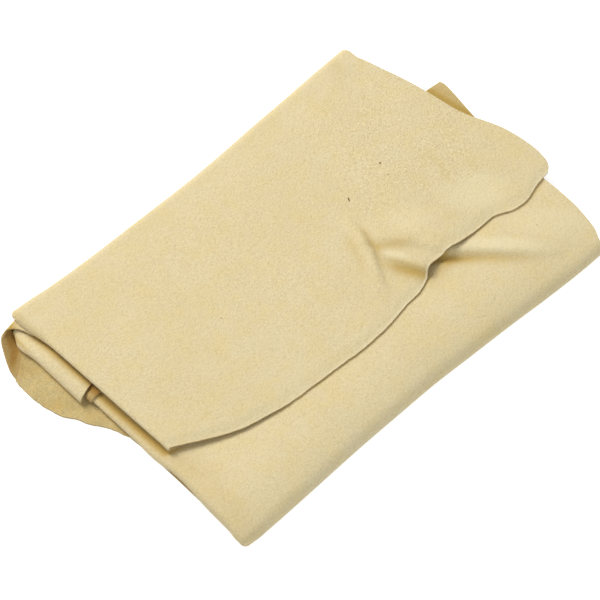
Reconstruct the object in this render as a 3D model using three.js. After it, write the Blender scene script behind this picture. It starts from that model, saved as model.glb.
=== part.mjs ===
// A chamois leather: one natural hide folded into a flat pack, divided at its folds.
// Millimetres, +Z up. X runs along the two long folds and Y from the front fold to the back fold.
// The origin is on the table, under the middle of the pack.

import * as THREE from "three";

// Driving dimensions of the hide and of the gaps between its plies
const LEATHER = 1.1;
const PLY_GAP = 0.35;
const FLAP_GAP = 0.6;
const SEAM = 0.3;
const WIDE_SEAM = 0.8;

// Driving dimensions of the pack: its outer length along the folds, and its outer width across them
const PACK_LENGTH = 268;
const PACK_WIDTH = 184;

// Bend radii, at the middle of the leather, and the flat strip at each side of the back fold's bend
const BACK_FOLD_RADIUS = 5;
const BACK_FOLD_FLAT = 3.4;
const FRONT_FOLD_RADIUS = 3.4;
const FLAP_SIDE_RADIUS = 1.1;
const TUCK_FOLD_RADIUS = 1.2;

// The flap: its reach from the back fold, its left side's inset from the panel's, and its turned margin
const FLAP_REACH = 137;
const FLAP_SIDE_INSET = 3;
const FLAP_SIDE_SKEW = 3.5;
const FLAP_LEAF = 55;
const FLAP_LEAF_BACK = 8;
const FLAP_LEAF_SLANT = 6;
const FLAP_LEAF_FADE = 22;
const FLAP_BACK_FADE = 14;

// The middle panel: its reach from the front fold, its cut end's slant and height, its turned margin, and how far
// it swells up behind the front fold
const PANEL_REACH = 118.5;
const PANEL_END_SLANT = 15;
const PANEL_BACK_HEIGHT = 4.4;
const PANEL_LEAF = 50;
const PANEL_LEAF_FRONT = 4;
const PANEL_CORNER_RADIUS = 1.2;
const PANEL_CORNER_FADE = 6;
const PANEL_FOLD_FADE = 14;
const PANEL_PUFF = 2.8;
const PANEL_PUFF_RISE = 20;
const PANEL_PUFF_FALL = 52;
const PANEL_PUFF_POWER = 2.4;

// The base: its insets from the pack's outline, and the lobe that sticks out past the panel's left side
const BASE_BACK_INSET = 23;
const BASE_FRONT_INSET = 14;
const BASE_SIDE_INSET = 7;
const LOBE_REACH = 20;
const LOBE_FRONT_Y = -2;

// The tucked leg: its fold edge's reach past the panel's side, its width, crest and tip, and its lining
const TUCK_REACH = 5.7;
const TUCK_WIDTH = 42;
const TUCK_CREST = 6.1;
const TUCK_SLOPE = 9;
const TUCK_TIP_CLEARANCE = 3.5;
const TUCK_TIP_INSET = 3;
const TUCK_TIP_LENGTH = 8;
const TUCK_FALL_LENGTH = 28;
const LINING_REACH = 1.2;
const LINING_OVERHANG = 5;
const LINING_TUCKED = 5;
const LINING_WIDTH = 24;
const LINING_DROP = 2.6;
const LINING_SLOPE = 9;

// The corner curl: its radius, its inset from the back, and the strip of it that runs beside the flap
const CURL_RADIUS = 2.9;
const CURL_BACK_INSET = 2.8;
const CURL_STRIP = 11;
const CURL_STRIP_END = 0.9;
const CURL_SIDE_GAP = 0.6;

// How many straight steps follow each wavy stretch of the base's outline
const OUTLINE_STEPS = 16;

// Shares of a bend's grid: the front fold before its rounded corner, each flat strip of the back fold, and
// the lower leaf of the tucked leg
const FOLD_CORNER_SHARE = 0.8;
const BACK_FLAT_SHARE = 0.1;
const TUCK_TURN_SHARE = 0.6;

// Places derived from the driving dimensions
const LEFT_X = -PACK_LENGTH / 2;
const RIGHT_X = PACK_LENGTH / 2;
const FRONT_Y = -PACK_WIDTH / 2;
const BACK_Y = PACK_WIDTH / 2;
const HALF = LEATHER / 2;
const PLY_STEP = LEATHER + PLY_GAP;
const BACK_AXIS_Y = BACK_Y - BACK_FOLD_RADIUS - HALF;
const BACK_LINE_Y = BACK_AXIS_Y - BACK_FOLD_FLAT;
const FRONT_AXIS_Y = FRONT_Y + FRONT_FOLD_RADIUS + HALF;
const BACK_TOP = HALF + 2 * BACK_FOLD_RADIUS;
const FRONT_TOP = HALF + 2 * FRONT_FOLD_RADIUS;
const SECOND_PLY = HALF + PLY_STEP;
const PANEL_END_Y = FRONT_Y + PANEL_REACH;
const FLAP_BACK_X = LEFT_X + FLAP_SIDE_INSET;

// Wavy edges of the hide, as [share along the edge, millimetres off its straight line]
const BACK_FOLD_WAVE = [
  [0, 1.9], [0.06, 0.9], [0.1, -0.3], [0.2, -1.6], [0.34, -2.1], [0.46, -2.5], [0.56, -1.8], [0.66, -0.4],
  [0.76, 0.6], [0.84, 1.7], [0.92, 2.3], [1, 3],
];
const FRONT_FOLD_WAVE = [
  [0, 0.4], [0.12, 0.9], [0.3, 1.7], [0.4, 1.6], [0.5, 1.3], [0.6, 0.2], [0.7, -0.7], [0.8, -2.7], [0.9, -4.3],
  [1, -4.4],
];
const FLAP_CUT_EDGE = [
  [0, 20.2], [0.016, 18], [0.063, 10.8], [0.117, 3.2], [0.156, -0.1], [0.217, -3.4], [0.273, -4.9], [0.344, -5.7],
  [0.418, -7.2], [0.498, -6.6], [0.563, -3.8], [0.6, -3], [0.622, -1.2], [0.634, 0.4], [0.648, 3.2], [0.665, 4.4],
  [0.7, 4.8], [0.739, 3.2], [0.787, 2.9], [0.841, 3.3], [0.885, -1.6], [0.918, -1.7], [0.968, 1.5], [1, 3.6],
];
const FLAP_RIGHT_EDGE = [
  [0, -19.4], [0.05, -17.3], [0.13, -14.6], [0.22, -11.8], [0.34, -8.2], [0.42, -6.4], [0.5, -4.4], [0.56, -2.2],
  [0.62, 0.6], [0.72, 6], [0.86, 8.7], [0.94, 8], [1, 6.2],
];
const PANEL_SIDE_WAVE = [
  [0, -2.2], [0.08, -0.6], [0.25, 0.4], [0.38, 1.5], [0.46, 1.3], [0.55, 0.9], [0.78, 0.2], [1, -0.4],
];
const PANEL_RIGHT_EDGE = [
  [0, -11], [0.04, -6.9], [0.09, -4.9], [0.16, -2.7], [0.24, -1.5], [0.38, -1.4], [0.7, 0.8], [0.92, 4.4], [1, 5.2],
];
const LOBE_EDGE = [
  [0, 0.2], [0.1, 0.9], [0.2, 1], [0.27, 0.9], [0.35, 0.1], [0.45, -1.8], [0.5, -2.8], [0.58, -6.9], [0.68, -9.5],
  [0.74, -11.6], [0.8, -14.5], [0.86, -17.1], [0.92, -18.2], [1, -20.2],
];

// The curl's cut edge between its two ends, as shares [inwards, backwards, upwards] of the way to its top
const CURL_EDGE = [
  [0.16, 0.3, 0.12], [0.24, 0.66, 0.36], [0.38, 0.98, 0.7], [0.54, 1.06, 0.95], [0.69, 1.05, 1], [0.86, 0.86, 1],
];

// Soft folds, each a path of [x, y] with its height at every point, and its half width to the left and right of it
const FLAP_FOLDS = [
  { path: [[35, 1], [38, -6], [50, -22], [57, -33], [62, -43]], heights: [0, 0.7, 2.1, 2.6, 2.8], left: 16, right: 5 },
  { path: [[31, -11], [37, -24], [47, -46]], heights: [0, 1.6, 3.4], left: 8, right: 4 },
  { path: [[35, 13], [34, 0], [29, -14], [22, -27], [18, -37]], heights: [0, 1.1, 1.3, 1, 0.2], left: 4, right: 4 },
  { path: [[104, 82], [110, 54]], heights: [-1, -0.5], left: 7, right: 7 },
];
const PANEL_FOLDS = [
  { path: [[44, -14], [60, -35], [78, -54], [97, -73], [108, -87]], heights: [0, 3, 2.5, 1.4, 0], left: 14, right: 5 },
];

const { lerp, smoothstep } = THREE.MathUtils;

// The value at a share along a wavy edge: a smooth curve through its stations.
function along(stations, share) {
  const last = stations.length - 1;
  let k = 0;
  while (k < last - 1 && share > stations[k + 1][0]) k += 1;
  const slope = (a, b) => (stations[b][1] - stations[a][1]) / (stations[b][0] - stations[a][0]);
  const span = stations[k + 1][0] - stations[k][0];
  const t = (share - stations[k][0]) / span;
  const m0 = slope(Math.max(k - 1, 0), k + 1) * span;
  const m1 = slope(k, Math.min(k + 2, last)) * span;
  const rise = stations[k + 1][1] - stations[k][1];
  return stations[k][1] + t * (m0 + t * (3 * rise - 2 * m0 - m1 + t * (m0 + m1 - 2 * rise)));
}

// The height that one soft fold adds at a point of the plan, from the nearest stretch of its path.
function foldHeight(fold, x, y) {
  let nearest = Infinity;
  let height = 0;
  for (let k = 0; k + 1 < fold.path.length; k += 1) {
    const [ax, ay] = fold.path[k];
    const [dx, dy] = [fold.path[k + 1][0] - ax, fold.path[k + 1][1] - ay];
    const t = THREE.MathUtils.clamp(((x - ax) * dx + (y - ay) * dy) / (dx * dx + dy * dy), 0, 1);
    const away = Math.hypot(x - ax - t * dx, y - ay - t * dy);
    if (away < nearest) {
      nearest = away;
      const width = dx * (y - ay) > dy * (x - ax) ? fold.left : fold.right;
      height = lerp(fold.heights[k], fold.heights[k + 1], t) * Math.exp(-((away / width) ** 2));
    }
  }
  return height;
}

// The larger of two heights, with a soft corner between them.
function softMax(a, b) {
  return (a + b + Math.hypot(a - b, PLY_GAP)) / 2;
}

// Shares along one side of a grid, from stretches given as [end share, number of steps].
function graded(...stretches) {
  const shares = [0];
  let start = 0;
  for (const [end, steps] of stretches) {
    for (let k = 1; k <= steps; k += 1) shares.push(lerp(start, end, k / steps));
    start = end;
  }
  return shares;
}

const even = (steps) => graded([1, steps]);

// A ply of leather: the middle surface pointAt(s, q) thickened to both sides along its normals.
function ply(pointAt, columns, rows) {
  const nudge = 1e-4;
  const upper = [];
  const lower = [];
  for (const q of rows) {
    for (const s of columns) {
      const acrossStep = pointAt(Math.min(s + nudge, 1), q).sub(pointAt(Math.max(s - nudge, 0), q));
      const alongStep = pointAt(s, Math.min(q + nudge, 1)).sub(pointAt(s, Math.max(q - nudge, 0)));
      const offset = acrossStep.cross(alongStep).setLength(HALF);
      upper.push(...pointAt(s, q).add(offset));
      lower.push(...pointAt(s, q).sub(offset));
    }
  }
  const width = columns.length;
  const under = width * rows.length;
  const index = [];
  const quad = (a, b, c, d) => index.push(a, b, c, a, c, d);
  for (let j = 0; j + 1 < rows.length; j += 1) {
    for (let i = 0; i + 1 < width; i += 1) {
      const a = j * width + i;
      quad(a, a + 1, a + width + 1, a + width);
      quad(under + a, under + a + width, under + a + width + 1, under + a + 1);
    }
  }
  const wall = (a, b) => quad(b, a, under + a, under + b);
  const lastRow = under - width;
  for (let i = 0; i + 1 < width; i += 1) {
    wall(i, i + 1);
    wall(lastRow + i + 1, lastRow + i);
  }
  for (let j = 0; j + 1 < rows.length; j += 1) {
    wall((j + 1) * width, j * width);
    wall(j * width + width - 1, (j + 1) * width + width - 1);
  }
  const geometry = new THREE.BufferGeometry();
  geometry.setAttribute("position", new THREE.Float32BufferAttribute([...upper, ...lower], 3));
  geometry.setIndex(index);
  geometry.computeVertexNormals();
  return geometry;
}

const point = (x, y, z) => new THREE.Vector3(x, y, z);

// Plan of the back fold's axis line and of the front fold's, at a share of the pack's length.
const packShare = (x) => (x - LEFT_X) / PACK_LENGTH;
const panelEndY = (x) => PANEL_END_Y + PANEL_END_SLANT * packShare(x);
const backAxisY = (x) => BACK_AXIS_Y + along(BACK_FOLD_WAVE, packShare(x));
const frontAxisY = (x) => FRONT_AXIS_Y + along(FRONT_FOLD_WAVE, packShare(x));

// The middle panel: plan and height of its top ply, which swells up behind the front fold.
function panelPuff(x, y) {
  const away = y - frontAxisY(x) + FRONT_FOLD_RADIUS;
  const left = 1 - THREE.MathUtils.clamp(away / PANEL_PUFF_RISE, 0, 1);
  const fall = smoothstep(away, PANEL_PUFF_RISE, PANEL_PUFF_RISE + PANEL_PUFF_FALL);
  return PANEL_PUFF * (1 - left ** PANEL_PUFF_POWER) * (1 - fall);
}

function panelLevel(x, y) {
  const frontY = frontAxisY(x);
  const height = lerp(FRONT_TOP, PANEL_BACK_HEIGHT, smoothstep(y, frontY, panelEndY(x)));
  const folds = PANEL_FOLDS.reduce((sum, fold) => sum + foldHeight(fold, x, y), 0);
  return height + folds * smoothstep(y, frontY, frontY + PANEL_FOLD_FADE);
}

const panelHeight = (x, y) => panelLevel(x, y) + panelPuff(x, y);

// How much of the swell lifts a point of a half turn: all of it at the top and none at the bottom.
const turnLift = (turn) => (1 + Math.sin(turn)) / 2;

const panelSideShare = (y) => (y - FRONT_AXIS_Y) / (PANEL_END_Y - FRONT_AXIS_Y);
const panelOuterX = (y) => LEFT_X + along(PANEL_SIDE_WAVE, panelSideShare(y));
const panelSideRadius = (y) => (panelLevel(panelOuterX(y), y) - SECOND_PLY) / 2;
const panelLeftX = (y) => panelOuterX(y) + panelSideRadius(y) + HALF;

function panelPoint(s, q) {
  const rightX = RIGHT_X + along(PANEL_RIGHT_EDGE, q);
  const nominalX = lerp(LEFT_X, rightX, s);
  const frontY = frontAxisY(nominalX) + SEAM;
  const y = lerp(frontY, panelEndY(nominalX), q);
  const corner = PANEL_CORNER_RADIUS * (1 - smoothstep(y, frontY, frontY + PANEL_CORNER_FADE));
  const x = lerp(panelLeftX(y) + SEAM + corner, rightX, s);
  return point(x, y, panelHeight(x, y));
}

// The side fold turns half round from the panel's top ply to its turned margin.
const panelCornerY = frontAxisY(LEFT_X) + PANEL_CORNER_RADIUS;

function panelSidePoint(s, q) {
  const y = lerp(panelCornerY + WIDE_SEAM, PANEL_END_Y, q);
  const radius = panelSideRadius(y);
  const turn = Math.PI * (1.5 - s);
  const lift = panelPuff(panelLeftX(y), y) * turnLift(turn);
  return point(panelLeftX(y) + radius * Math.cos(turn), y, SECOND_PLY + radius + radius * Math.sin(turn) + lift);
}

function panelLeafPoint(s, q) {
  const y = lerp(panelCornerY + PANEL_LEAF_FRONT, PANEL_END_Y, q);
  return point(panelLeftX(y) + WIDE_SEAM + PANEL_LEAF * s, y, SECOND_PLY);
}

// The front fold turns half round from the panel to the base, and round the left corner to the side fold.
const frontCornerX = panelLeftX(panelCornerY) + PANEL_CORNER_RADIUS;

function frontFoldPoint(s, q) {
  const turn = Math.PI * (0.5 + q);
  const face = (Math.PI / 2) * Math.max(0, (s - FOLD_CORNER_SHARE) / (1 - FOLD_CORNER_SHARE));
  const radius = lerp(FRONT_FOLD_RADIUS, panelSideRadius(panelCornerY), (2 * face) / Math.PI);
  const z = FRONT_TOP - radius + radius * Math.sin(turn);
  if (s > FOLD_CORNER_SHARE) {
    const reach = PANEL_CORNER_RADIUS - radius * Math.cos(turn);
    const y = panelCornerY - reach * Math.cos(face);
    return point(frontCornerX - reach * Math.sin(face), y, z + panelPuff(frontCornerX, y) * turnLift(turn));
  }
  const x = lerp(RIGHT_X + PANEL_RIGHT_EDGE[0][1], frontCornerX, s / FOLD_CORNER_SHARE);
  const y = frontAxisY(x) + radius * Math.cos(turn);
  return point(x, y, z + panelPuff(x, y) * turnLift(turn));
}

// The flap: plan and height of its top ply. It rests on the panel, and over its own turned margin.
const flapSideX = (q) => FLAP_BACK_X + FLAP_SIDE_SKEW * q;
const flapLeftX = (q) => flapSideX(q) + FLAP_SIDE_RADIUS + HALF;
const flapCutY = (s) => BACK_Y - FLAP_REACH + along(FLAP_CUT_EDGE, s);

function flapRestHeight(x, y) {
  const leafEnd = FLAP_BACK_X + FLAP_LEAF;
  const margin = 2 * FLAP_SIDE_RADIUS * (1 - smoothstep(x, leafEnd, leafEnd + FLAP_LEAF_FADE));
  return panelHeight(x, y) + LEATHER + FLAP_GAP + margin;
}

function flapPoint(s, q) {
  const rightX = RIGHT_X + along(FLAP_RIGHT_EDGE, q);
  const x = lerp(flapLeftX(q) + SEAM, rightX, s);
  const y = lerp(BACK_LINE_Y - SEAM, flapCutY(s), q);
  const slope = lerp(BACK_TOP, flapRestHeight(x, flapCutY(s)), q);
  const fade = smoothstep(BACK_LINE_Y - y, 0, FLAP_BACK_FADE);
  const folds = FLAP_FOLDS.reduce((sum, fold) => sum + foldHeight(fold, x, y), 0);
  return point(x, y, softMax(slope + folds * fade, flapRestHeight(x, y) * fade));
}

// The flap's side fold turns half round from its top ply to its turned margin.
function flapSidePoint(s, q) {
  const edge = flapPoint(0, q);
  const turn = Math.PI * (1.5 - s);
  const z = edge.z - FLAP_SIDE_RADIUS + FLAP_SIDE_RADIUS * Math.sin(turn);
  return point(flapLeftX(q) + FLAP_SIDE_RADIUS * Math.cos(turn), edge.y, z);
}

function flapLeafPoint(s, q) {
  const share = lerp(FLAP_LEAF_BACK / FLAP_REACH, 1, q);
  const edge = flapPoint(0, share);
  const x = edge.x + FLAP_LEAF * s;
  const y = edge.y - FLAP_LEAF_SLANT * s * q;
  const across = (x - flapLeftX(share) - SEAM) / (RIGHT_X - flapLeftX(share));
  return point(x, y, flapPoint(across, share).z - 2 * FLAP_SIDE_RADIUS);
}

// The back fold turns half round from the base to the flap, with a flat strip at each side of the bend.
function backFoldPoint(s, q) {
  const x = lerp(FLAP_BACK_X, RIGHT_X + FLAP_RIGHT_EDGE[0][1], s);
  const middle = HALF + BACK_FOLD_RADIUS;
  const side = Math.sign(q - 0.5);
  const flat = (Math.abs(q - 0.5) - (0.5 - BACK_FLAT_SHARE)) / BACK_FLAT_SHARE;
  if (flat > 0) return point(x, lerp(backAxisY(x), BACK_LINE_Y, flat), middle + side * BACK_FOLD_RADIUS);
  const turn = (Math.PI / 2) * ((q - 0.5) / (0.5 - BACK_FLAT_SHARE));
  const y = backAxisY(x) + BACK_FOLD_RADIUS * Math.cos(turn);
  return point(x, y, middle + BACK_FOLD_RADIUS * Math.sin(turn));
}

// The corner of the base where the curl starts: a slanted line from the back fold out to the lobe's edge.
const CURL_AXIS_Y = BACK_Y - CURL_BACK_INSET - CURL_RADIUS - HALF;
const CURL_INNER_X = FLAP_BACK_X - CURL_SIDE_GAP;
const LOBE_X = LEFT_X - LOBE_REACH;
const LOBE_BACK_Y = CURL_AXIS_Y - LOBE_REACH;
const CURL_TOP = HALF + 2 * CURL_RADIUS;

// The curl is lofted from its inner profile, beside the back fold, to its cut edge that spirals up.
const curlInner = new THREE.CatmullRomCurve3(
  [-90, -45, 0, 45, 90].map((degrees) => {
    const turn = THREE.MathUtils.degToRad(degrees);
    const y = CURL_AXIS_Y + CURL_RADIUS * Math.cos(turn);
    return point(CURL_INNER_X, y, HALF + CURL_RADIUS + CURL_RADIUS * Math.sin(turn));
  }).concat([point(CURL_INNER_X + CURL_SIDE_GAP, CURL_AXIS_Y - CURL_STRIP, CURL_TOP)]),
);
const curlOuter = new THREE.CatmullRomCurve3([
  point(LOBE_X, LOBE_BACK_Y, HALF),
  ...CURL_EDGE.map(([inwards, backwards, upwards]) => {
    const x = lerp(LOBE_X, CURL_INNER_X, inwards);
    return point(x, lerp(LOBE_BACK_Y, CURL_AXIS_Y, backwards), lerp(HALF, CURL_TOP, upwards));
  }),
  point(CURL_INNER_X - CURL_STRIP_END, CURL_AXIS_Y - CURL_STRIP + CURL_STRIP_END, CURL_TOP),
]);

function curlPoint(s, q) {
  return curlOuter.getPoint(q).lerp(curlInner.getPoint(q), s);
}

// The tucked leg lies on the base beside the cut end: an upper leaf, its fold edge and a lower leaf.
const TUCK_END_Y = PANEL_END_Y + LINING_OVERHANG;
const TUCK_TIP_Y = CURL_AXIS_Y - TUCK_TIP_CLEARANCE;
const TUCK_EDGE_TOP = SECOND_PLY + 2 * TUCK_FOLD_RADIUS;
const TUCK_EDGE_X = LEFT_X - TUCK_REACH + TUCK_FOLD_RADIUS + HALF;
const tuckY = (q) => lerp(TUCK_END_Y, TUCK_TIP_Y, q);
const tuckTip = (q, length) => smoothstep(tuckY(q), TUCK_TIP_Y - length, TUCK_TIP_Y);
const tuckEdgeX = (q) => TUCK_EDGE_X + TUCK_TIP_INSET * tuckTip(q, TUCK_TIP_LENGTH);

function tuckTopPoint(s, q) {
  const x = tuckEdgeX(q) + SEAM + TUCK_WIDTH * s;
  const crest = lerp(TUCK_CREST, TUCK_EDGE_TOP, tuckTip(q, TUCK_FALL_LENGTH));
  const rise = smoothstep(TUCK_WIDTH * s, 0, TUCK_SLOPE);
  return point(x, tuckY(q), lerp(TUCK_EDGE_TOP, crest, rise));
}

function tuckFoldPoint(s, q) {
  if (s < TUCK_TURN_SHARE) {
    const x = tuckEdgeX(q) + TUCK_WIDTH * (1 - s / TUCK_TURN_SHARE);
    return point(x, tuckY(q), SECOND_PLY);
  }
  const turn = Math.PI * (1.5 - (s - TUCK_TURN_SHARE) / (1 - TUCK_TURN_SHARE));
  const z = SECOND_PLY + TUCK_FOLD_RADIUS + TUCK_FOLD_RADIUS * Math.sin(turn);
  return point(tuckEdgeX(q) + TUCK_FOLD_RADIUS * Math.cos(turn), tuckY(q), z);
}

// The lining shows past the end of the tucked leg, and lies between its two leaves.
function liningPoint(s, q) {
  const x = panelOuterX(PANEL_END_Y) - LINING_REACH + LINING_WIDTH * s;
  const y = lerp(panelEndY(x) + PLY_GAP, TUCK_END_Y + LINING_TUCKED, q);
  const edge = lerp(SECOND_PLY, SECOND_PLY + PLY_STEP, smoothstep(y, PANEL_END_Y, TUCK_END_Y));
  const crest = SECOND_PLY + LINING_DROP;
  return point(x, y, lerp(edge, crest, smoothstep(LINING_WIDTH * s, 0, LINING_SLOPE)));
}

// The base lies flat. Its outline follows both folds, the slanted line of the curl and the lobe's cut edge.
function baseGeometry() {
  const edge = (pointAt) => even(OUTLINE_STEPS).map(pointAt);
  const frontEdge = edge((share) => {
    const x = lerp(LEFT_X + BASE_SIDE_INSET, RIGHT_X - BASE_FRONT_INSET, share);
    return new THREE.Vector2(x, frontAxisY(x) + SEAM);
  });
  const backEdge = edge((share) => {
    const x = lerp(RIGHT_X - BASE_BACK_INSET, CURL_INNER_X, share);
    return new THREE.Vector2(x, BACK_LINE_Y - SEAM);
  });
  const curlLine = new THREE.Vector2(CURL_INNER_X, CURL_AXIS_Y - WIDE_SEAM);
  const lobeEdge = edge((share) => {
    const x = LOBE_X - along(LOBE_EDGE, share);
    return new THREE.Vector2(x, lerp(LOBE_BACK_Y - WIDE_SEAM, LOBE_FRONT_Y, share));
  });
  const shape = new THREE.Shape([...frontEdge, ...backEdge, curlLine, ...lobeEdge]);
  return new THREE.ExtrudeGeometry(shape, { depth: LEATHER, bevelEnabled: false });
}

const grainSide = new THREE.MeshStandardMaterial({ color: 0xe3d0a2, roughness: 0.95, metalness: 0 });
const fleshSide = new THREE.MeshStandardMaterial({ color: 0xccb67d, roughness: 1, metalness: 0 });

const pack = new THREE.Group();

function add(name, geometry, material) {
  const mesh = new THREE.Mesh(geometry, material);
  mesh.name = name;
  pack.add(mesh);
}

add("base_panel", baseGeometry(), fleshSide);
add("corner_curl", ply(curlPoint, even(3), even(16)), fleshSide);
const backFoldRows = graded([BACK_FLAT_SHARE, 1], [1 - BACK_FLAT_SHARE, 8], [1, 1]);
add("back_fold", ply(backFoldPoint, even(16), backFoldRows), grainSide);
add("flap_top", ply(flapPoint, graded([0.5, 8], [0.78, 14], [1, 6]), even(20)), grainSide);
add("flap_side_fold", ply(flapSidePoint, even(6), even(12)), grainSide);
add("flap_under_leaf", ply(flapLeafPoint, even(5), even(10)), grainSide);
add("front_fold", ply(frontFoldPoint, graded([FOLD_CORNER_SHARE, 16], [1, 5]), even(8)), grainSide);
add("panel_top", ply(panelPoint, graded([0.6, 8], [0.92, 14], [1, 4]), even(20)), grainSide);
add("panel_side_fold", ply(panelSidePoint, even(8), even(12)), grainSide);
add("panel_under_leaf", ply(panelLeafPoint, even(3), even(8)), grainSide);
add("tucked_leg_top", ply(tuckTopPoint, even(8), even(8)), grainSide);
add("tucked_leg_fold", ply(tuckFoldPoint, graded([TUCK_TURN_SHARE, 2], [1, 6]), even(8)), grainSide);
add("tucked_leg_lining", ply(liningPoint, even(6), even(6)), fleshSide);

export default pack;
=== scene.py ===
"""A chamois leather folded into a flat pack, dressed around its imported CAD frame.

One hide lies on the table in folds: a base ply with a lobe at the left, a flap that comes over the back fold,
a middle panel that comes over the front fold, a tucked leg with its lining, and a curled corner. Every length
in the classes below is in millimetres, in the frame of the CAD model. The meshes are in metres.
"""

import logging
import math
from dataclasses import dataclass, field
from enum import Enum
from typing import Callable, NamedTuple, Sequence

import bmesh
import bpy
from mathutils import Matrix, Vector, noise


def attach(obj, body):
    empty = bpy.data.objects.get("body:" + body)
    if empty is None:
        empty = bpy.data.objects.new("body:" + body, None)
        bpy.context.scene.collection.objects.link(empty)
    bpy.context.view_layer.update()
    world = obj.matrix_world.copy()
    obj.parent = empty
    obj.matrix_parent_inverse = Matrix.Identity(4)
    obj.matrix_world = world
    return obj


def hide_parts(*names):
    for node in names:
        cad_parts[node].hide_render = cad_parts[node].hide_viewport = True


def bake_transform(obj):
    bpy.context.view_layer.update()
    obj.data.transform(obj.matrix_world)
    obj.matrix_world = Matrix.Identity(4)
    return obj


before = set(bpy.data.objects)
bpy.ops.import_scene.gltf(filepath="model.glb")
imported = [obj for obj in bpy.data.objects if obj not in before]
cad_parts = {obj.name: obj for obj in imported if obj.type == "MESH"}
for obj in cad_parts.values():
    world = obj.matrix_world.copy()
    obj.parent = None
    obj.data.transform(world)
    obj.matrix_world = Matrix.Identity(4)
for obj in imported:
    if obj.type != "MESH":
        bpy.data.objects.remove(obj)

log = logging.getLogger("chamois")

MM = 0.001
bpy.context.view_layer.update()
PHOTO_PIXELS = 600
PAINTED_SHADE = "painted_shade"
EDGE_HIGHLIGHT = "edge_highlight"

# Sockets of the Mix node in its colour mode.
MIX_FIRST, MIX_SECOND, MIX_RESULT = 6, 7, 2

Point = tuple[float, float, float]
Span = tuple[float, float]
Nodes = bpy.types.NodeTree
Socket = bpy.types.NodeSocket


def lerp(low: float, high: float, share: float) -> float:
    """The value at a share of the way from low to high."""
    return low + (high - low) * share


def smooth(value: float, low: float, high: float) -> float:
    """A soft step from 0 at low to 1 at high."""
    share = min(max((value - low) / (high - low), 0.0), 1.0)
    return share * share * (3.0 - 2.0 * share)


@dataclass(frozen=True)
class Ripple:
    """A slow rise and fall of the hide: its height, the distance between rises, and the seed that picks it."""

    height: float
    wavelength: float
    seed: float

    def at(self, x: float, y: float) -> float:
        """The ripple's height at a place of the plan."""
        return self.height * noise.noise(Vector((x / self.wavelength, y / self.wavelength, self.seed)))


class Zone(Enum):
    """Which stretch of a ply a row or a column of its grid lies on."""

    LEAF = "leaf"
    TURN = "turn"
    FACE = "face"


class Mark(NamedTuple):
    """One row or column of a ply's grid: its stretch, and its share along that stretch."""

    zone: Zone
    share: float


def marks(zone: Zone, *stretches: tuple[float, int], start: float = 0.0) -> list[Mark]:
    """Rows or columns over one zone.

    Args:
        zone: The stretch of the ply.
        stretches: Pairs of an end share and the number of steps to it.
        start: The share of the first mark.

    Returns:
        The marks in order, the first and the last included.
    """
    shares = [start]
    for end, steps in stretches:
        begin = shares[-1]
        shares += [lerp(begin, end, step / steps) for step in range(1, steps + 1)]
    return [Mark(zone, share) for share in shares]


@dataclass(frozen=True)
class WavyEdge:
    """A wavy edge of the hide, as pairs of a share along it and millimetres off its straight line."""

    stations: tuple[Span, ...]

    def at(self, share: float) -> float:
        """The edge's offset, on a smooth curve through the stations.

        Args:
            share: The share along the edge.

        Returns:
            The offset, in millimetres.
        """
        last = len(self.stations) - 1
        k = 0
        while k < last - 1 and share > self.stations[k + 1][0]:
            k += 1
        (s0, v0), (s1, v1) = self.stations[k], self.stations[k + 1]
        before, after = self.stations[max(k - 1, 0)], self.stations[min(k + 2, last)]
        span = s1 - s0
        t = (share - s0) / span
        m0 = (v1 - before[1]) / (s1 - before[0]) * span
        m1 = (after[1] - v0) / (after[0] - s0) * span
        rise = v1 - v0
        return v0 + t * (m0 + t * (3 * rise - 2 * m0 - m1 + t * (m0 + m1 - 2 * rise)))


@dataclass(frozen=True)
class SoftFold:
    """A soft fold pressed into a ply: a ridge where its height is positive, a valley where it is negative.

    Along a line of painted shade, the same shape says how deep the painted shade is.
    """

    path: tuple[Span, ...]
    heights: tuple[float, ...]
    left: float
    right: float

    def height(self, x: float, y: float) -> float:
        """The height that the fold adds at a place of the plan, from the nearest stretch of its path.

        Args:
            x: Place along the folds.
            y: Place across the folds.

        Returns:
            The height there, negative in a valley.
        """
        nearest, value = math.inf, 0.0
        for k in range(len(self.path) - 1):
            (ax, ay), (bx, by) = self.path[k], self.path[k + 1]
            dx, dy = bx - ax, by - ay
            t = min(max(((x - ax) * dx + (y - ay) * dy) / (dx * dx + dy * dy), 0.0), 1.0)
            away = math.hypot(x - ax - t * dx, y - ay - t * dy)
            if away < nearest:
                nearest = away
                width = self.left if dx * (y - ay) > dy * (x - ax) else self.right
                value = lerp(self.heights[k], self.heights[k + 1], t) * math.exp(-((away / width) ** 2))
        return value


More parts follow.
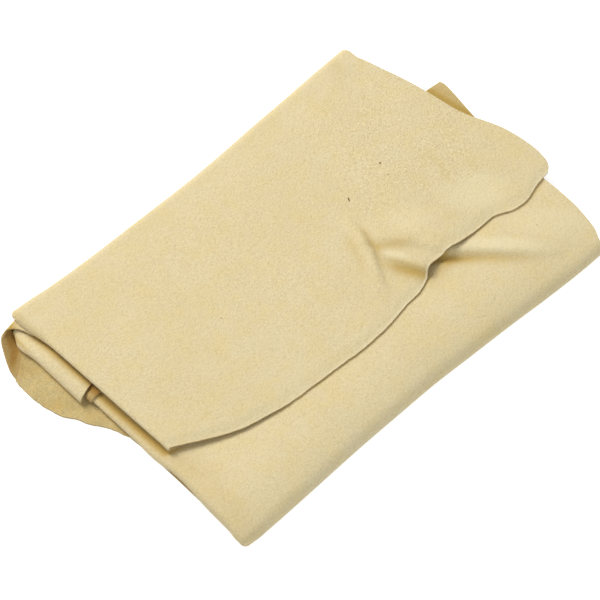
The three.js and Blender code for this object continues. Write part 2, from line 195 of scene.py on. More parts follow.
@dataclass(frozen=True)
class HidePlan:
    """Sizes that all the plies share: the leather, the pack's outline and its two long folds."""

    leather: float = 1.1
    ply_gap: float = 0.35
    pack_length: float = 268.0
    pack_width: float = 184.0
    back_radius: float = 5.0
    back_flat: float = 3.4
    front_radius: float = 3.4
    back_wave: WavyEdge = WavyEdge(
        (
            (0, 1.9), (0.06, 0.9), (0.1, -0.3), (0.2, -1.6), (0.34, -2.1), (0.46, -2.5), (0.56, -1.8),
            (0.66, -0.4), (0.76, 0.6), (0.84, 1.7), (0.92, 2.3), (1, 3),
        )
    )
    front_wave: WavyEdge = WavyEdge(
        (
            (0, 0.4), (0.12, 0.7), (0.3, 1.7), (0.4, 1.6), (0.5, 1.4), (0.6, 0), (0.7, -1.4), (0.8, -3.3),
            (0.9, -4.5), (1, -4.5),
        )
    )

    @property
    def half(self) -> float:
        """Half the leather's thickness."""
        return self.leather / 2

    @property
    def left_x(self) -> float:
        """The pack's left side."""
        return -self.pack_length / 2

    @property
    def right_x(self) -> float:
        """The pack's right side."""
        return self.pack_length / 2

    @property
    def back_axis_y(self) -> float:
        """The line that the flap turns about."""
        return self.pack_width / 2 - self.back_radius - self.half

    @property
    def back_line_y(self) -> float:
        """Where the bend of the back fold ends, on the base and on the flap."""
        return self.back_axis_y - self.back_flat

    @property
    def front_axis_y(self) -> float:
        """The line that the middle panel turns about."""
        return -self.pack_width / 2 + self.front_radius + self.half

    @property
    def second_ply(self) -> float:
        """The middle height of the ply that lies on the base."""
        return self.half + self.leather + self.ply_gap

    def share(self, x: float) -> float:
        """The share along the pack's length."""
        return (x - self.left_x) / self.pack_length

    def back_y(self, x: float) -> float:
        """The middle of the back fold's bend, with its wave."""
        return self.back_axis_y + self.back_wave.at(self.share(x))

    def front_y(self, x: float) -> float:
        """The middle of the front fold's bend, with its wave."""
        return self.front_axis_y + self.front_wave.at(self.share(x))


class Side(Enum):
    """The faces of a ply, as the material slots of its mesh."""

    GRAIN = 0
    FLESH = 1
    CUT = 2


@dataclass
class Ply:
    """A ply of hide: a grid that is laid point by point and then given the leather's thickness.

    The two facings say how far up a point has to look for none and for all of its painted shade and its painted
    highlight.
    """

    name: str
    columns: list[Mark]
    rows: list[Mark]
    lay: Callable[[Mark, Mark], Point]
    finishes: Sequence[bpy.types.Material]
    thickness: float
    turned_over: bool = False
    left_out: Callable[[Mark, Mark], bool] = lambda column, row: False
    # Painted shade: darker colour where shade falls, in creases, hollows, under the flap's edges and inside the
    # curl. Painted highlight: a pale line along the flap's cut edge.
    painted_shades: Sequence[Callable[[float, float], float]] = ()
    shade_both_sides: bool = True
    edge_highlight: Callable[[float, float], float] = lambda x, y: 0.0
    shade_facing: Span = (-0.6, 0.0)
    highlight_facing: Span = (0.2, 0.8)
    rim_round: float = 0.22
    rim_steps: int = 3
    crease_angle: float = math.radians(52)

    def build(self) -> bpy.types.Object:
        """Lays the grid, thickens it and writes its painted shade and its painted highlight.

        Returns:
            The finished object.
        """
        mesh = bpy.data.meshes.new(self.name)
        bm = bmesh.new()
        across, along = len(self.columns) - 1, len(self.rows) - 1
        bmesh.ops.create_grid(bm, x_segments=across, y_segments=along, size=1.0)
        spare = []
        for vert in bm.verts:
            column = self.columns[round((vert.co.x + 1) / 2 * across)]
            row = self.rows[round((vert.co.y + 1) / 2 * along)]
            if self.left_out(column, row):
                spare.append(vert)
            vert.co = Vector(self.lay(column, row)) * MM
        bmesh.ops.delete(bm, geom=spare, context="VERTS")
        if self.turned_over:
            bmesh.ops.reverse_faces(bm, faces=bm.faces[:])
        bm.to_mesh(mesh)
        bm.free()
        piece = bpy.data.objects.new(self.name, mesh)
        bpy.context.scene.collection.objects.link(piece)
        for finish in self.finishes:
            mesh.materials.append(finish)
        self._thicken(piece)
        self._paint_shade_and_highlight(piece.data)
        faces = piece.data.polygons
        log.info("%s: %d faces, %.4f square metres", self.name, len(faces), sum(face.area for face in faces) / 2)
        return piece

    def _thicken(self, piece: bpy.types.Object) -> None:
        """Gives the sheet its thickness and its softly rounded cut edge, and keeps the result as its mesh.

        Args:
            piece: The object that holds the thin sheet.
        """
        wall = piece.modifiers.new("leather", "SOLIDIFY")
        wall.thickness = self.thickness * MM
        wall.offset = 0.0
        wall.use_even_offset = True
        wall.use_quality_normals = True
        wall.material_offset = Side.FLESH.value
        wall.material_offset_rim = Side.CUT.value
        rim = piece.modifiers.new("rim", "BEVEL")
        rim.width = self.rim_round * MM
        rim.segments = self.rim_steps
        rim.limit_method = "ANGLE"
        rim.angle_limit = self.crease_angle
        rim.harden_normals = False
        depsgraph = bpy.context.evaluated_depsgraph_get()
        final = bpy.data.meshes.new_from_object(piece.evaluated_get(depsgraph))
        piece.modifiers.clear()
        thin = piece.data
        piece.data = final
        bpy.data.meshes.remove(thin)
        final.name = self.name
        final.shade_smooth()

    def _paint_shade_and_highlight(self, mesh: bpy.types.Mesh) -> None:
        """Writes how much painted shade each point takes, where shade falls in creases, hollows and under edges, and
        how much painted highlight, along the cut edge.

        Args:
            mesh: The finished mesh of the ply.
        """
        # Painted shade and painted highlight, per point, for the finishes to mix in.
        shaded = mesh.attributes.new(PAINTED_SHADE, "FLOAT", "POINT")
        worn = mesh.attributes.new(EDGE_HIGHLIGHT, "FLOAT", "POINT")
        for vert, dark, pale in zip(mesh.vertices, shaded.data, worn.data):
            x, y = vert.co.x / MM, vert.co.y / MM
            upwards = 1.0 if self.shade_both_sides else smooth(vert.normal.z, *self.shade_facing)
            dark.value = min(sum(painted_shade(x, y) for painted_shade in self.painted_shades), 1.0) * upwards
            pale.value = self.edge_highlight(x, y) * smooth(vert.normal.z, *self.highlight_facing)


@dataclass(frozen=True)
class Spot:
    """A soft oval on the hide: its place, half its length and width, its turn in the plan and its strength."""

    place: Point
    length: float
    width: float
    turn: float
    strength: float


class Layer(NamedTuple):
    """One noise pattern of a finish: its share of the scale, its finer layers, where it shows and how strongly."""

    share: float
    detail: float
    roughness: float
    low: float
    high: float
    contrast: float


CLOUDS = Layer(1.0, 3.0, 0.55, 0.36, 0.66, 1.0)
MOTTLE = Layer(7.0, 4.0, 0.6, 0.42, 0.75, 0.5)
PATCH = Layer(3.0, 5.0, 0.65, 0.45, 0.7, 0.45)
NAP = Layer(1.0, 4.0, 0.7, 0.45, 0.8, 1.0)
FIBRE = Layer(0.8, 3.0, 0.65, 0.5, 0.8, 0.7)
PORE = Layer(2.2, 2.0, 0.6, 0.45, 0.72, 1.3)
PITS = Layer(1.5, 2.0, 0.5, 0.5, 0.3, 0.45)
PEAKS = Layer(1.5, 2.0, 0.5, 0.5, 0.7, 0.4)


@dataclass(frozen=True)
class Suede:
    """A suede finish: its colours, the size of its cloudiness and nap, how deep the nap is, and where it varies."""

    name: str
    pale: Point
    deep: Point
    shade: Point
    # The colour of the painted shade in creases, hollows and under edges.
    painted_shade: Point
    cloud_scale: float
    nap_scale: float
    nap_contrast: float
    nap_depth: float
    sheen: float
    # A pale colour: the tops of the coarse grain, the paler spots with their painted light, and the painted
    # highlight along the cut edge.
    light: Point = (0.93, 0.83, 0.56)
    fleck: Point = (0.16, 0.075, 0.02)
    flecks: tuple[Spot, ...] = ()
    patches: tuple[Point, ...] = ()
    coarse: tuple[Spot, ...] = ()
    # Paler spots; several sit on the lit slopes of the folds and are painted light.
    paler_spots_and_painted_light: tuple[Spot, ...] = ()
    roughness: float = 0.94
    specular: float = 0.12
    sheen_roughness: float = 0.55
    sheen_tint: Point = (1.0, 0.97, 0.9)
    bump: float = 0.75
    brush_turn: float = math.radians(28)
    brush_stretch: float = 0.75
    patch_step: Span = (0.37, 0.21)
    spot_height: float = 6.0
    spot_core: float = 0.35

    def material(self) -> bpy.types.Material:
        """Builds the finish as a node material on object coordinates.

        Returns:
            The material.
        """
        material = bpy.data.materials.new(self.name)
        material.use_nodes = True
        tree = material.node_tree
        shader = tree.nodes["Principled BSDF"]
        shader.inputs["Roughness"].default_value = self.roughness
        shader.inputs["Specular IOR Level"].default_value = self.specular
        shader.inputs["Sheen Weight"].default_value = self.sheen
        shader.inputs["Sheen Roughness"].default_value = self.sheen_roughness
        shader.inputs["Sheen Tint"].default_value = (*self.sheen_tint, 1.0)
        coords = tree.nodes.new("ShaderNodeTexCoord").outputs["Object"]
        nap = self._noise(tree, coords, self.nap_scale, NAP)
        fibre = self._noise(tree, self._brushed(tree, coords), self.nap_scale, FIBRE)
        colour = self._napped(tree, coords, self._clouded(tree, coords), nap, fibre)
        tree.links.new(self._marked(tree, coords, colour), shader.inputs["Base Color"])
        heights = tree.nodes.new("ShaderNodeMath")
        heights.operation = "ADD"
        tree.links.new(nap, heights.inputs[0])
        tree.links.new(fibre, heights.inputs[1])
        bump = tree.nodes.new("ShaderNodeBump")
        bump.inputs["Strength"].default_value = self.bump
        bump.inputs["Distance"].default_value = self.nap_depth * MM
        tree.links.new(heights.outputs[0], bump.inputs["Height"])
        tree.links.new(bump.outputs["Normal"], shader.inputs["Normal"])
        return material

    def _clouded(self, tree: Nodes, coords: Socket) -> Socket:
        """The leather's own colour, cloudy and mottled, with its patches.

        Args:
            tree: The material's nodes.
            coords: The coordinates to start from.

        Returns:
            The colour.
        """
        clouds = self._noise(tree, coords, self.cloud_scale, CLOUDS)
        mottle = self._noise(tree, coords, self.cloud_scale, MOTTLE)
        colour = self._mix(tree, self._ramp(tree, clouds, CLOUDS), self.pale, self.deep)
        colour = self._mix(tree, self._ramp(tree, mottle, MOTTLE), colour, self.deep)
        for k, patch in enumerate(self.patches):
            spread = self._noise(tree, self._moved(tree, coords, k), self.cloud_scale, PATCH)
            colour = self._mix(tree, self._ramp(tree, spread, PATCH), colour, patch)
        return colour

    def _napped(self, tree: Nodes, coords: Socket, colour: Socket, nap: Socket, fibre: Socket) -> Socket:
        """The colour with the shade between the fibres of the nap.

        Args:
            tree: The material's nodes.
            coords: The coordinates that the pores read.
            colour: The colour so far.
            nap: The pattern of the nap.
            fibre: The pattern of its brushed fibres.

        Returns:
            The shaded colour.
        """
        pore = self._noise(tree, coords, self.nap_scale, PORE)
        for pattern, layer in ((nap, NAP), (fibre, FIBRE), (pore, PORE)):
            depth = self._ramp(tree, pattern, layer, self.nap_contrast)
            colour = self._mix(tree, depth, colour, self.shade)
        return colour

    def _marked(self, tree: Nodes, coords: Socket, colour: Socket) -> Socket:
        """The colour with its paler spots and painted light on lit slopes, its coarse grain, its painted shade, its
        painted highlight along the cut edge and its flecks.

        Args:
            tree: The material's nodes.
            coords: The coordinates that the spots read.
            colour: The colour so far.

        Returns:
            The finished colour.
        """
        # Paler spots, several of them painted light on the lit slopes of the folds.
        for area in self.paler_spots_and_painted_light:
            colour = self._mix(tree, self._spot(tree, coords, area), colour, self.light)
        pebble = self._noise(tree, coords, self.nap_scale, PITS)
        for area in self.coarse:
            within = self._spot(tree, coords, area)
            for layer, tone in ((PITS, self.shade), (PEAKS, self.light)):
                share = self._times(tree, within, self._ramp(tree, pebble, layer))
                colour = self._mix(tree, share, colour, tone)
        # Painted shade where shade falls, and a painted highlight along the cut edge, from the mesh's attributes.
        for attribute, tone in ((PAINTED_SHADE, self.painted_shade), (EDGE_HIGHLIGHT, self.light)):
            reader = tree.nodes.new("ShaderNodeAttribute")
            reader.attribute_name = attribute
            colour = self._mix(tree, reader.outputs["Fac"], colour, tone)
        for spot in self.flecks:
            colour = self._mix(tree, self._spot(tree, coords, spot), colour, self.fleck)
        return colour

    def _noise(self, tree: Nodes, coords: Socket, scale: float, layer: Layer) -> Socket:
        """A noise pattern.

        Args:
            tree: The material's nodes.
            coords: The coordinates that it reads.
            scale: Features per metre, before the pattern's own share.
            layer: The pattern.

        Returns:
            The pattern's value.
        """
        node = tree.nodes.new("ShaderNodeTexNoise")
        node.inputs["Scale"].default_value = scale * layer.share
        node.inputs["Detail"].default_value = layer.detail
        node.inputs["Roughness"].default_value = layer.roughness
        tree.links.new(coords, node.inputs["Vector"])
        return node.outputs["Fac"]

    def _moved(self, tree: Nodes, coords: Socket, k: int) -> Socket:
        """Coordinates moved aside, so that each layer of patches has its own pattern.

        Args:
            tree: The material's nodes.
            coords: The coordinates to start from.
            k: The number of the layer.

        Returns:
            The moved coordinates.
        """
        node = tree.nodes.new("ShaderNodeMapping")
        x, y = self.patch_step
        node.inputs["Location"].default_value = (x * (k + 1), y * (k + 1), 0.0)
        tree.links.new(coords, node.inputs["Vector"])
        return node.outputs["Vector"]

    def _brushed(self, tree: Nodes, coords: Socket) -> Socket:
        """Coordinates stretched along the way that the nap is brushed.

        Args:
            tree: The material's nodes.
            coords: The coordinates to start from.

        Returns:
            The stretched coordinates.
        """
        node = tree.nodes.new("ShaderNodeMapping")
        node.inputs["Rotation"].default_value = (0.0, 0.0, self.brush_turn)
        node.inputs["Scale"].default_value = (1.0, self.brush_stretch, 1.0)
        tree.links.new(coords, node.inputs["Vector"])
        return node.outputs["Vector"]

    def _times(self, tree: Nodes, first: Socket, second: Socket) -> Socket:
        """The product of two values.

        Args:
            tree: The material's nodes.
            first: One value.
            second: The other value.

        Returns:
            Their product.
        """
        node = tree.nodes.new("ShaderNodeMath")
        node.operation = "MULTIPLY"
        tree.links.new(first, node.inputs[0])
        tree.links.new(second, node.inputs[1])
        return node.outputs[0]

    def _ramp(self, tree: Nodes, value: Socket, layer: Layer, most: float = 1.0) -> Socket:
        """A pattern's value spread softly over the range where it shows.

        Args:
            tree: The material's nodes.
            value: The value to spread.
            layer: The pattern, with its range and its contrast.
            most: A further share of the contrast.

        Returns:
            The spread value, from 0 to the contrast times that share.
        """
        node = tree.nodes.new("ShaderNodeMapRange")
        node.interpolation_type = "SMOOTHSTEP"
        node.inputs["From Min"].default_value = layer.low
        node.inputs["From Max"].default_value = layer.high
        node.inputs["To Max"].default_value = layer.contrast * most
        tree.links.new(value, node.inputs["Value"])
        return node.outputs["Result"]

    def _mix(self, tree: Nodes, share: Socket, first: Socket | Point, second: Point) -> Socket:
        """A mix of two colours.

        Args:
            tree: The material's nodes.
            share: The share of the second colour.
            first: A colour, or the output that gives it.
            second: The other colour.

        Returns:
            The mixed colour.
        """
        node = tree.nodes.new("ShaderNodeMix")
        node.data_type = "RGBA"
        tree.links.new(share, node.inputs[0])
        if isinstance(first, tuple):
            node.inputs[MIX_FIRST].default_value = (*first, 1.0)
        else:
            tree.links.new(first, node.inputs[MIX_FIRST])
        node.inputs[MIX_SECOND].default_value = (*second, 1.0)
        return node.outputs[MIX_RESULT]

    def _spot(self, tree: Nodes, coords: Socket, spot: Spot) -> Socket:
        """The mask of one spot.

        Args:
            tree: The material's nodes.
            coords: The coordinates that it reads.
            spot: The spot.

        Returns:
            The spot's strength in its middle, falling to 0 at its edge.
        """
        place = tree.nodes.new("ShaderNodeMapping")
        place.vector_type = "TEXTURE"
        place.inputs["Location"].default_value = Vector(spot.place) * MM
        place.inputs["Rotation"].default_value = (0.0, 0.0, spot.turn)
        place.inputs["Scale"].default_value = Vector((spot.length, spot.width, self.spot_height)) * MM
        tree.links.new(coords, place.inputs["Vector"])
        length = tree.nodes.new("ShaderNodeVectorMath")
        length.operation = "LENGTH"
        tree.links.new(place.outputs["Vector"], length.inputs[0])
        mask = tree.nodes.new("ShaderNodeMapRange")
        mask.interpolation_type = "SMOOTHSTEP"
        mask.inputs["From Min"].default_value = 1.0
        mask.inputs["From Max"].default_value = self.spot_core
        mask.inputs["To Max"].default_value = spot.strength
        tree.links.new(length.outputs["Value"], mask.inputs["Value"])
        return mask.outputs["Result"]


FLECKS = (
    Spot((73.6, 23.7, 10.5), 1.0, 0.8, 0.3, 1.0),
    Spot((71.3, 15.2, 10.4), 0.7, 0.6, 0.0, 0.7),
    Spot((45.4, 19.2, 10.5), 2.0, 0.62, 1.15, 1.0),
    Spot((-55.3, 12.5, 10.4), 0.6, 0.5, 0.0, 0.8),
    Spot((14.0, -13.6, 9.6), 0.45, 0.4, 0.0, 0.7),
    Spot((107.3, -62.0, 8.0), 0.55, 0.5, 0.0, 0.55),
)

GRAIN = Suede(
    name="grain_suede",
    pale=(0.82, 0.70, 0.44),
    deep=(0.80, 0.675, 0.405),
    shade=(0.56, 0.42, 0.19),
    # Painted shade colour of the grain side.
    painted_shade=(0.54, 0.36, 0.09),
    cloud_scale=26.0,
    nap_scale=820.0,
    nap_contrast=0.4,
    nap_depth=0.6,
    sheen=0.25,
    flecks=FLECKS,
    patches=((0.82, 0.655, 0.30), (0.82, 0.67, 0.34)),
    coarse=(Spot((98, 24, 11), 82, 68, 0.0, 1.0),),
    # Paler spots on the flap and the panel; those on the lit sides of the puckers and of the panel's ridge are
    # painted light.
    paler_spots_and_painted_light=(
        Spot((98, -24, 9.5), 26, 17, -0.5, 0.34),
        Spot((60, -12, 11), 20, 12, -0.8, 0.2),
        Spot((38, -24, 11.5), 11, 4, -1.1, 0.4),
        Spot((84, -59, 9.5), 36, 8, -0.8, 0.45),
        Spot((112, -64, 8.5), 30, 15, -0.8, 0.2),
    ),
)
FLESH = Suede(
    name="flesh_suede",
    pale=(0.67, 0.54, 0.265),
    deep=(0.60, 0.455, 0.19),
    shade=(0.34, 0.235, 0.085),
    # Painted shade colour of the flesh side, inside the curl and on the lining.
    painted_shade=(0.36, 0.20, 0.045),
    cloud_scale=60.0,
    nap_scale=700.0,
    nap_contrast=0.42,
    nap_depth=0.55,
    sheen=0.12,
    patches=((0.50, 0.42, 0.24), (0.74, 0.50, 0.17)),
)
# The cut edge is a darker brown than the faces: its own colour, darkened by painted shade so that the edges read as
# dark lines.
CUT = Suede(
    name="cut_edge",
    pale=(0.62, 0.46, 0.22),
    deep=(0.54, 0.38, 0.15),
    shade=(0.34, 0.22, 0.08),
    # Painted shade colour of the cut edge.
    painted_shade=(0.40, 0.26, 0.08),
    cloud_scale=90.0,
    nap_scale=1500.0,
    nap_contrast=0.4,
    nap_depth=0.4,
    sheen=0.2,
)


@dataclass
class MiddlePanel:
    """The panel that comes over the front fold and runs under the flap, with its left margin turned under."""

    plan: HidePlan
    reach: float = 118.5
    end_slant: float = 16.8
    end_drop: float = 2.2
    end_drop_span: Span = (128.0, 140.0)
    back_height: float = 4.4
    leaf: float = 50.0
    leaf_neck: float = 1.5
    leaf_front: float = 5.0
    corner_radius: float = 0.6
    corner_fade: float = 8.0
    nose_depth: float = 2.6
    nose_fade: float = 25.0
    fold_fade: float = 14.0
    turn_steps: int = 12
    puff: float = 3.2
    puff_rise: float = 22.0
    puff_fall: float = 42.0
    puff_power: float = 2.2
    puff_loss: float = 0.6
    puff_loss_span: Span = (70.0, 125.0)
    uneven: Ripple = Ripple(0.2, 34.0, 3.1)
    uneven_fade: float = 12.0
    uneven_margin: float = 0.04
    side_wave: WavyEdge = WavyEdge(
        (
            (0, -3), (0.08, -1.6), (0.15, -1.3), (0.25, -0.8), (0.38, 0.7), (0.46, 0.8), (0.52, 0),
            (0.6, -0.7), (0.7, -0.3), (1, -0.6),
        )
    )
    right_edge: WavyEdge = WavyEdge(
        (
            (0, -8.6), (0.03, -6.4), (0.06, -5.2), (0.1, -4.1), (0.16, -2.7), (0.24, -1.8), (0.38, -1.3),
            (0.7, 0.6), (0.92, 4.4), (0.975, 5), (1, 4.2),
        )
    )
    folds: tuple[SoftFold, ...] = (
        SoftFold(
            ((42.8, -15.2), (58.8, -36.2), (76.6, -55.4), (95.6, -74.4), (106.6, -88.4)),
            (0, 3.5, 3.0, 1.7, 0),
            14,
            2.9,
        ),
    )
    crevice: SoftFold = SoftFold(((-128.4, 34), (-126.4, -46), (-125.4, -56)), (-1.0, -0.9, 0), 2.2, 2.2)
    tip: SoftFold = SoftFold(((141, 44), (136, 16)), (2.0, 0), 9, 9)
    hollow: SoftFold = SoftFold(((48, -24), (54, -36), (62, -46), (76, -60)), (0, -1.3, -1.0, 0), 3.0, 4.0)
    end_round: float = 2.6
    # Painted shade on the panel: darker lines where shade falls, along the pucker and the notch under the flap, on
    # the tip behind the flap, and beside the flap's left edge.
    painted_shade_lines: tuple[SoftFold, ...] = (
        SoftFold(
            ((50, -29), (56, -40), (62, -47), (70.5, -55.4), (85, -70.7), (95, -81)),
            (1, 1, 0.9, 0.6, 0.4, 0),
            2.2,
            3.6,
        ),
        SoftFold(((42, -47), (48, -45), (56, -44)), (0.2, 0.45, 0.5), 3.0, 4.5),
        SoftFold(((126.5, 49), (131.7, 23), (138, 4)), (1.0, 1.0, 0.8), 2.6, 3.0),
        SoftFold(((128, 50), (134, 24), (140, 4)), (0.7, 0.65, 0.4), 16, 16),
        SoftFold(((-129, 30), (-127, -46), (-130, -90)), (0.24, 0.24, 0.18), 9, 8),
    )
    # The painted shadow that the flap's edges cast on the plies below.
    painted_edge_shadow: Callable[[float, float], float] | None = field(default=None, init=False)
    piece: bpy.types.Object | None = field(default=None, init=False)

    @property
    def top(self) -> float:
        """The middle height of the panel at the front fold."""
        return self.plan.half + 2 * self.plan.front_radius

    @property
    def end_y(self) -> float:
        """The cut end of the panel at its left side."""
        return -self.plan.pack_width / 2 + self.reach

    def cut_y(self, x: float) -> float:
        """The cut end of the panel, which slants along its length."""
        return self.end_y + self.end_slant * self.plan.share(x) - self.end_drop * smooth(x, *self.end_drop_span)

    def lift(self, x: float, y: float) -> float:
        """How far the panel swells up behind the front fold, at a place of the plan.

        Args:
            x: Place along the folds.
            y: Place across the folds.

        Returns:
            The swell's height.
        """
        away = y - self.plan.front_y(x) + self.plan.front_radius
        before = 1 - min(max(away / self.puff_rise, 0.0), 1.0)
        fall = smooth(away, self.puff_rise, self.puff_rise + self.puff_fall)
        loss = self.puff_loss * smooth(x, *self.puff_loss_span)
        return self.puff * (1 - loss) * (1 - before**self.puff_power) * (1 - fall)

    def level(self, x: float, y: float) -> float:
        """The middle height of the panel's top ply at a place of the plan, without that swell.

        Args:
            x: Place along the folds.
            y: Place across the folds.

        Returns:
            The height.
        """
        front = self.plan.front_y(x)
        height = lerp(self.top, self.back_height, smooth(y, front, self.cut_y(x)))
        folds = sum(fold.height(x, y) for fold in self.folds)
        return height + folds * smooth(y, front, front + self.fold_fade)

    def height(self, x: float, y: float) -> float:
        """The middle height of the panel's top ply at a place of the plan."""
        return self.level(x, y) + self.lift(x, y)

    def outer_x(self, y: float) -> float:
        """The outside of the turned left side."""
        share = (y - self.plan.front_axis_y) / (self.end_y - self.plan.front_axis_y)
        return self.plan.left_x + self.side_wave.at(min(max(share, 0.0), 1.0))

    def side_radius(self, y: float) -> float:
        """The radius of the turned left side, at the middle of the leather."""
        return (self.level(self.outer_x(y), y) - self.plan.second_ply) / 2

    def face_left_x(self, y: float) -> float:
        """Where the top ply ends and the turned left side starts."""
        return self.outer_x(y) + self.side_radius(y) + self.plan.half

    @property
    def corner_y(self) -> float:
        """Where the turned left side ends and the rounded front corner starts."""
        return self.plan.front_y(self.plan.left_x) + self.corner_radius

    @property
    def corner_x(self) -> float:
        """Where the front fold ends and the rounded front corner starts."""
        return self.face_left_x(self.corner_y) + self.corner_radius

    def bend_y(self, x: float) -> float:
        """The front fold's middle line, led into the rounded corner."""
        lead = 1 - smooth(x, self.corner_x, self.corner_x + self.corner_fade)
        return lerp(self.plan.front_y(x), self.corner_y, lead)

    def nose(self, x: float) -> float:
        """How much further than a round bend the upper half of the front fold reaches back, at a place along it."""
        return self.nose_depth * smooth(x, self.corner_x, self.corner_x + self.nose_fade)

    def lay(self, column: Mark, row: Mark) -> Point:
        """The place of one point of the panel's grid.

        Args:
            column: The turned leaf, the turned side or the face, from left to right.
            row: The front fold's bend or the face, from front to back.

        Returns:
            The point on the middle of the leather.
        """
        if row.zone is Zone.TURN:
            if column.zone is Zone.FACE:
                return self._bend(column.share, row.share)
            return self._corner(column.share if column.zone is Zone.TURN else 0.0, row.share)
        if column.zone is Zone.FACE:
            return self._face(column.share, row.share)
        if column.zone is Zone.TURN:
            return self._side(column.share, row.share)
        return self._leaf(column.share, row.share)

    def _face(self, s: float, q: float) -> Point:
        """The top ply.

        Args:
            s: The share across it.
            q: The share along it.

        Returns:
            The point on the middle of the leather.
        """
        right = self.plan.right_x + self.right_edge.at(q)
        rough_x = lerp(self.corner_x, right, s)
        y = lerp(self.bend_y(rough_x) + self.nose(rough_x), self.cut_y(rough_x), q)
        lead = 1 - smooth(y, self.corner_y, self.corner_y + self.corner_fade)
        x = lerp(lerp(self.face_left_x(y), self.corner_x, lead), right, s)
        loose = smooth(y, self.corner_y, self.corner_y + self.uneven_fade) * smooth(s, 0, self.uneven_margin)
        pressed = sum(fold.height(x, y) for fold in (self.crevice, self.tip, self.hollow))
        return x, y, self.height(x, y) + self.uneven.at(x, y) * loose + pressed

    def _side(self, t: float, q: float) -> Point:
        """The turned left side.

        Args:
            t: The share of its half turn.
            q: The share along it.

        Returns:
            The point on the middle of the leather.
        """
        x, y, z = self._face(0.0, q)
        radius = self.side_radius(y)
        turn = math.pi * (1.5 - t)
        low = self.plan.second_ply
        return x + radius * math.cos(turn), y, lerp(low, z, (1 + math.sin(turn)) / 2)

    def _leaf(self, t: float, q: float) -> Point:
        """The margin turned under the panel.

        Args:
            t: The share of its width.
            q: The share along it.

        Returns:
            The point on the middle of the leather.
        """
        x, y, _ = self._face(0.0, q)
        width = lerp(self.leaf_neck, self.leaf, smooth(y, self.corner_y, self.corner_y + self.leaf))
        return x + width * t, y, self.plan.second_ply

    def _bend(self, s: float, t: float) -> Point:
        """The front fold.

        Args:
            s: The share along it.
            t: The share of its half turn, from base to panel.

        Returns:
            The point on the middle of the leather.
        """
        radius = self.plan.front_radius
        turn = math.pi * (1.5 - t)
        end = self.plan.right_x + self.right_edge.at(0.0) + self.end_round * math.cos(turn)
        x = lerp(self.corner_x, end, s)
        y = self.bend_y(x) + radius * math.cos(turn)
        if t > 0.5:
            y += self.nose(x) * (1 + math.cos(turn))
        return x, y, lerp(self.plan.half, self.top + self.lift(x, y), (1 + math.sin(turn)) / 2)

    def _corner(self, across: float, along: float) -> Point:
        """The rounded front corner.

        Args:
            across: The share of the left side's half turn.
            along: The share of the front fold's half turn.

        Returns:
            The point on the middle of the leather.
        """
        a, b = 1 - across, 1 - along
        depth = max(a, b)
        if depth == 0:
            return self._bend(0.0, 1.0)
        face = math.pi / 4 * (a / b if b >= a else 2 - b / a)
        radius = lerp(self.plan.front_radius, self.side_radius(self.corner_y), face / (math.pi / 2))
        turn = math.pi * (0.5 + depth)
        out = -radius * math.cos(turn)
        x = self.corner_x - out * math.sin(face)
        y = self.corner_y - out * math.cos(face)
        top = self.top + self.lift(self.corner_x, y)
        return x, y, lerp(self.top - 2 * radius, top, (1 + math.sin(turn)) / 2)

    def build(self, finishes: Sequence[bpy.types.Material]) -> None:
        """Lays the panel as one sheet, from the base round the front fold to its cut end.

        Args:
            finishes: The materials of its upper side, its other side and its cut edge.
        """
        n = self.turn_steps
        columns = marks(Zone.LEAF, (0.1, 14), start=1.0) + marks(Zone.TURN, (1 - 1 / n, n - 1))
        columns += marks(Zone.FACE, (0.05, 12), (1.0, 200))
        rows = marks(Zone.TURN, (1 - 1 / n, n - 1)) + marks(Zone.FACE, (0.08, 10), (1.0, 88))
        self.piece = Ply(
            name="middle_panel",
            columns=columns,
            rows=rows,
            lay=self.lay,
            finishes=finishes,
            thickness=self.plan.leather,
            left_out=self._left_out,
            painted_shades=[self.painted_edge_shadow, *(shade_line.height for shade_line in self.painted_shade_lines)],
            shade_both_sides=False,
        ).build()

    def _left_out(self, column: Mark, row: Mark) -> bool:
        """Whether a point of the grid has no leather: the turned leaf ends short of the front fold.

        Args:
            column: The turned leaf, the turned side or the face.
            row: The front fold's bend or the face.

        Returns:
            True where there is none.
        """
        if column.zone is not Zone.LEAF or row.zone is Zone.TURN:
            return column.zone is Zone.LEAF
        _, y, _ = self._face(0.0, row.share)
        return y < self.corner_y + self.leaf_front

    def dress(self) -> None:
        """Hides the frame's parts that the panel stands for, and bakes its place into its mesh."""
        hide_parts("front_fold", "panel_top", "panel_side_fold", "panel_under_leaf")
        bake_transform(self.piece)


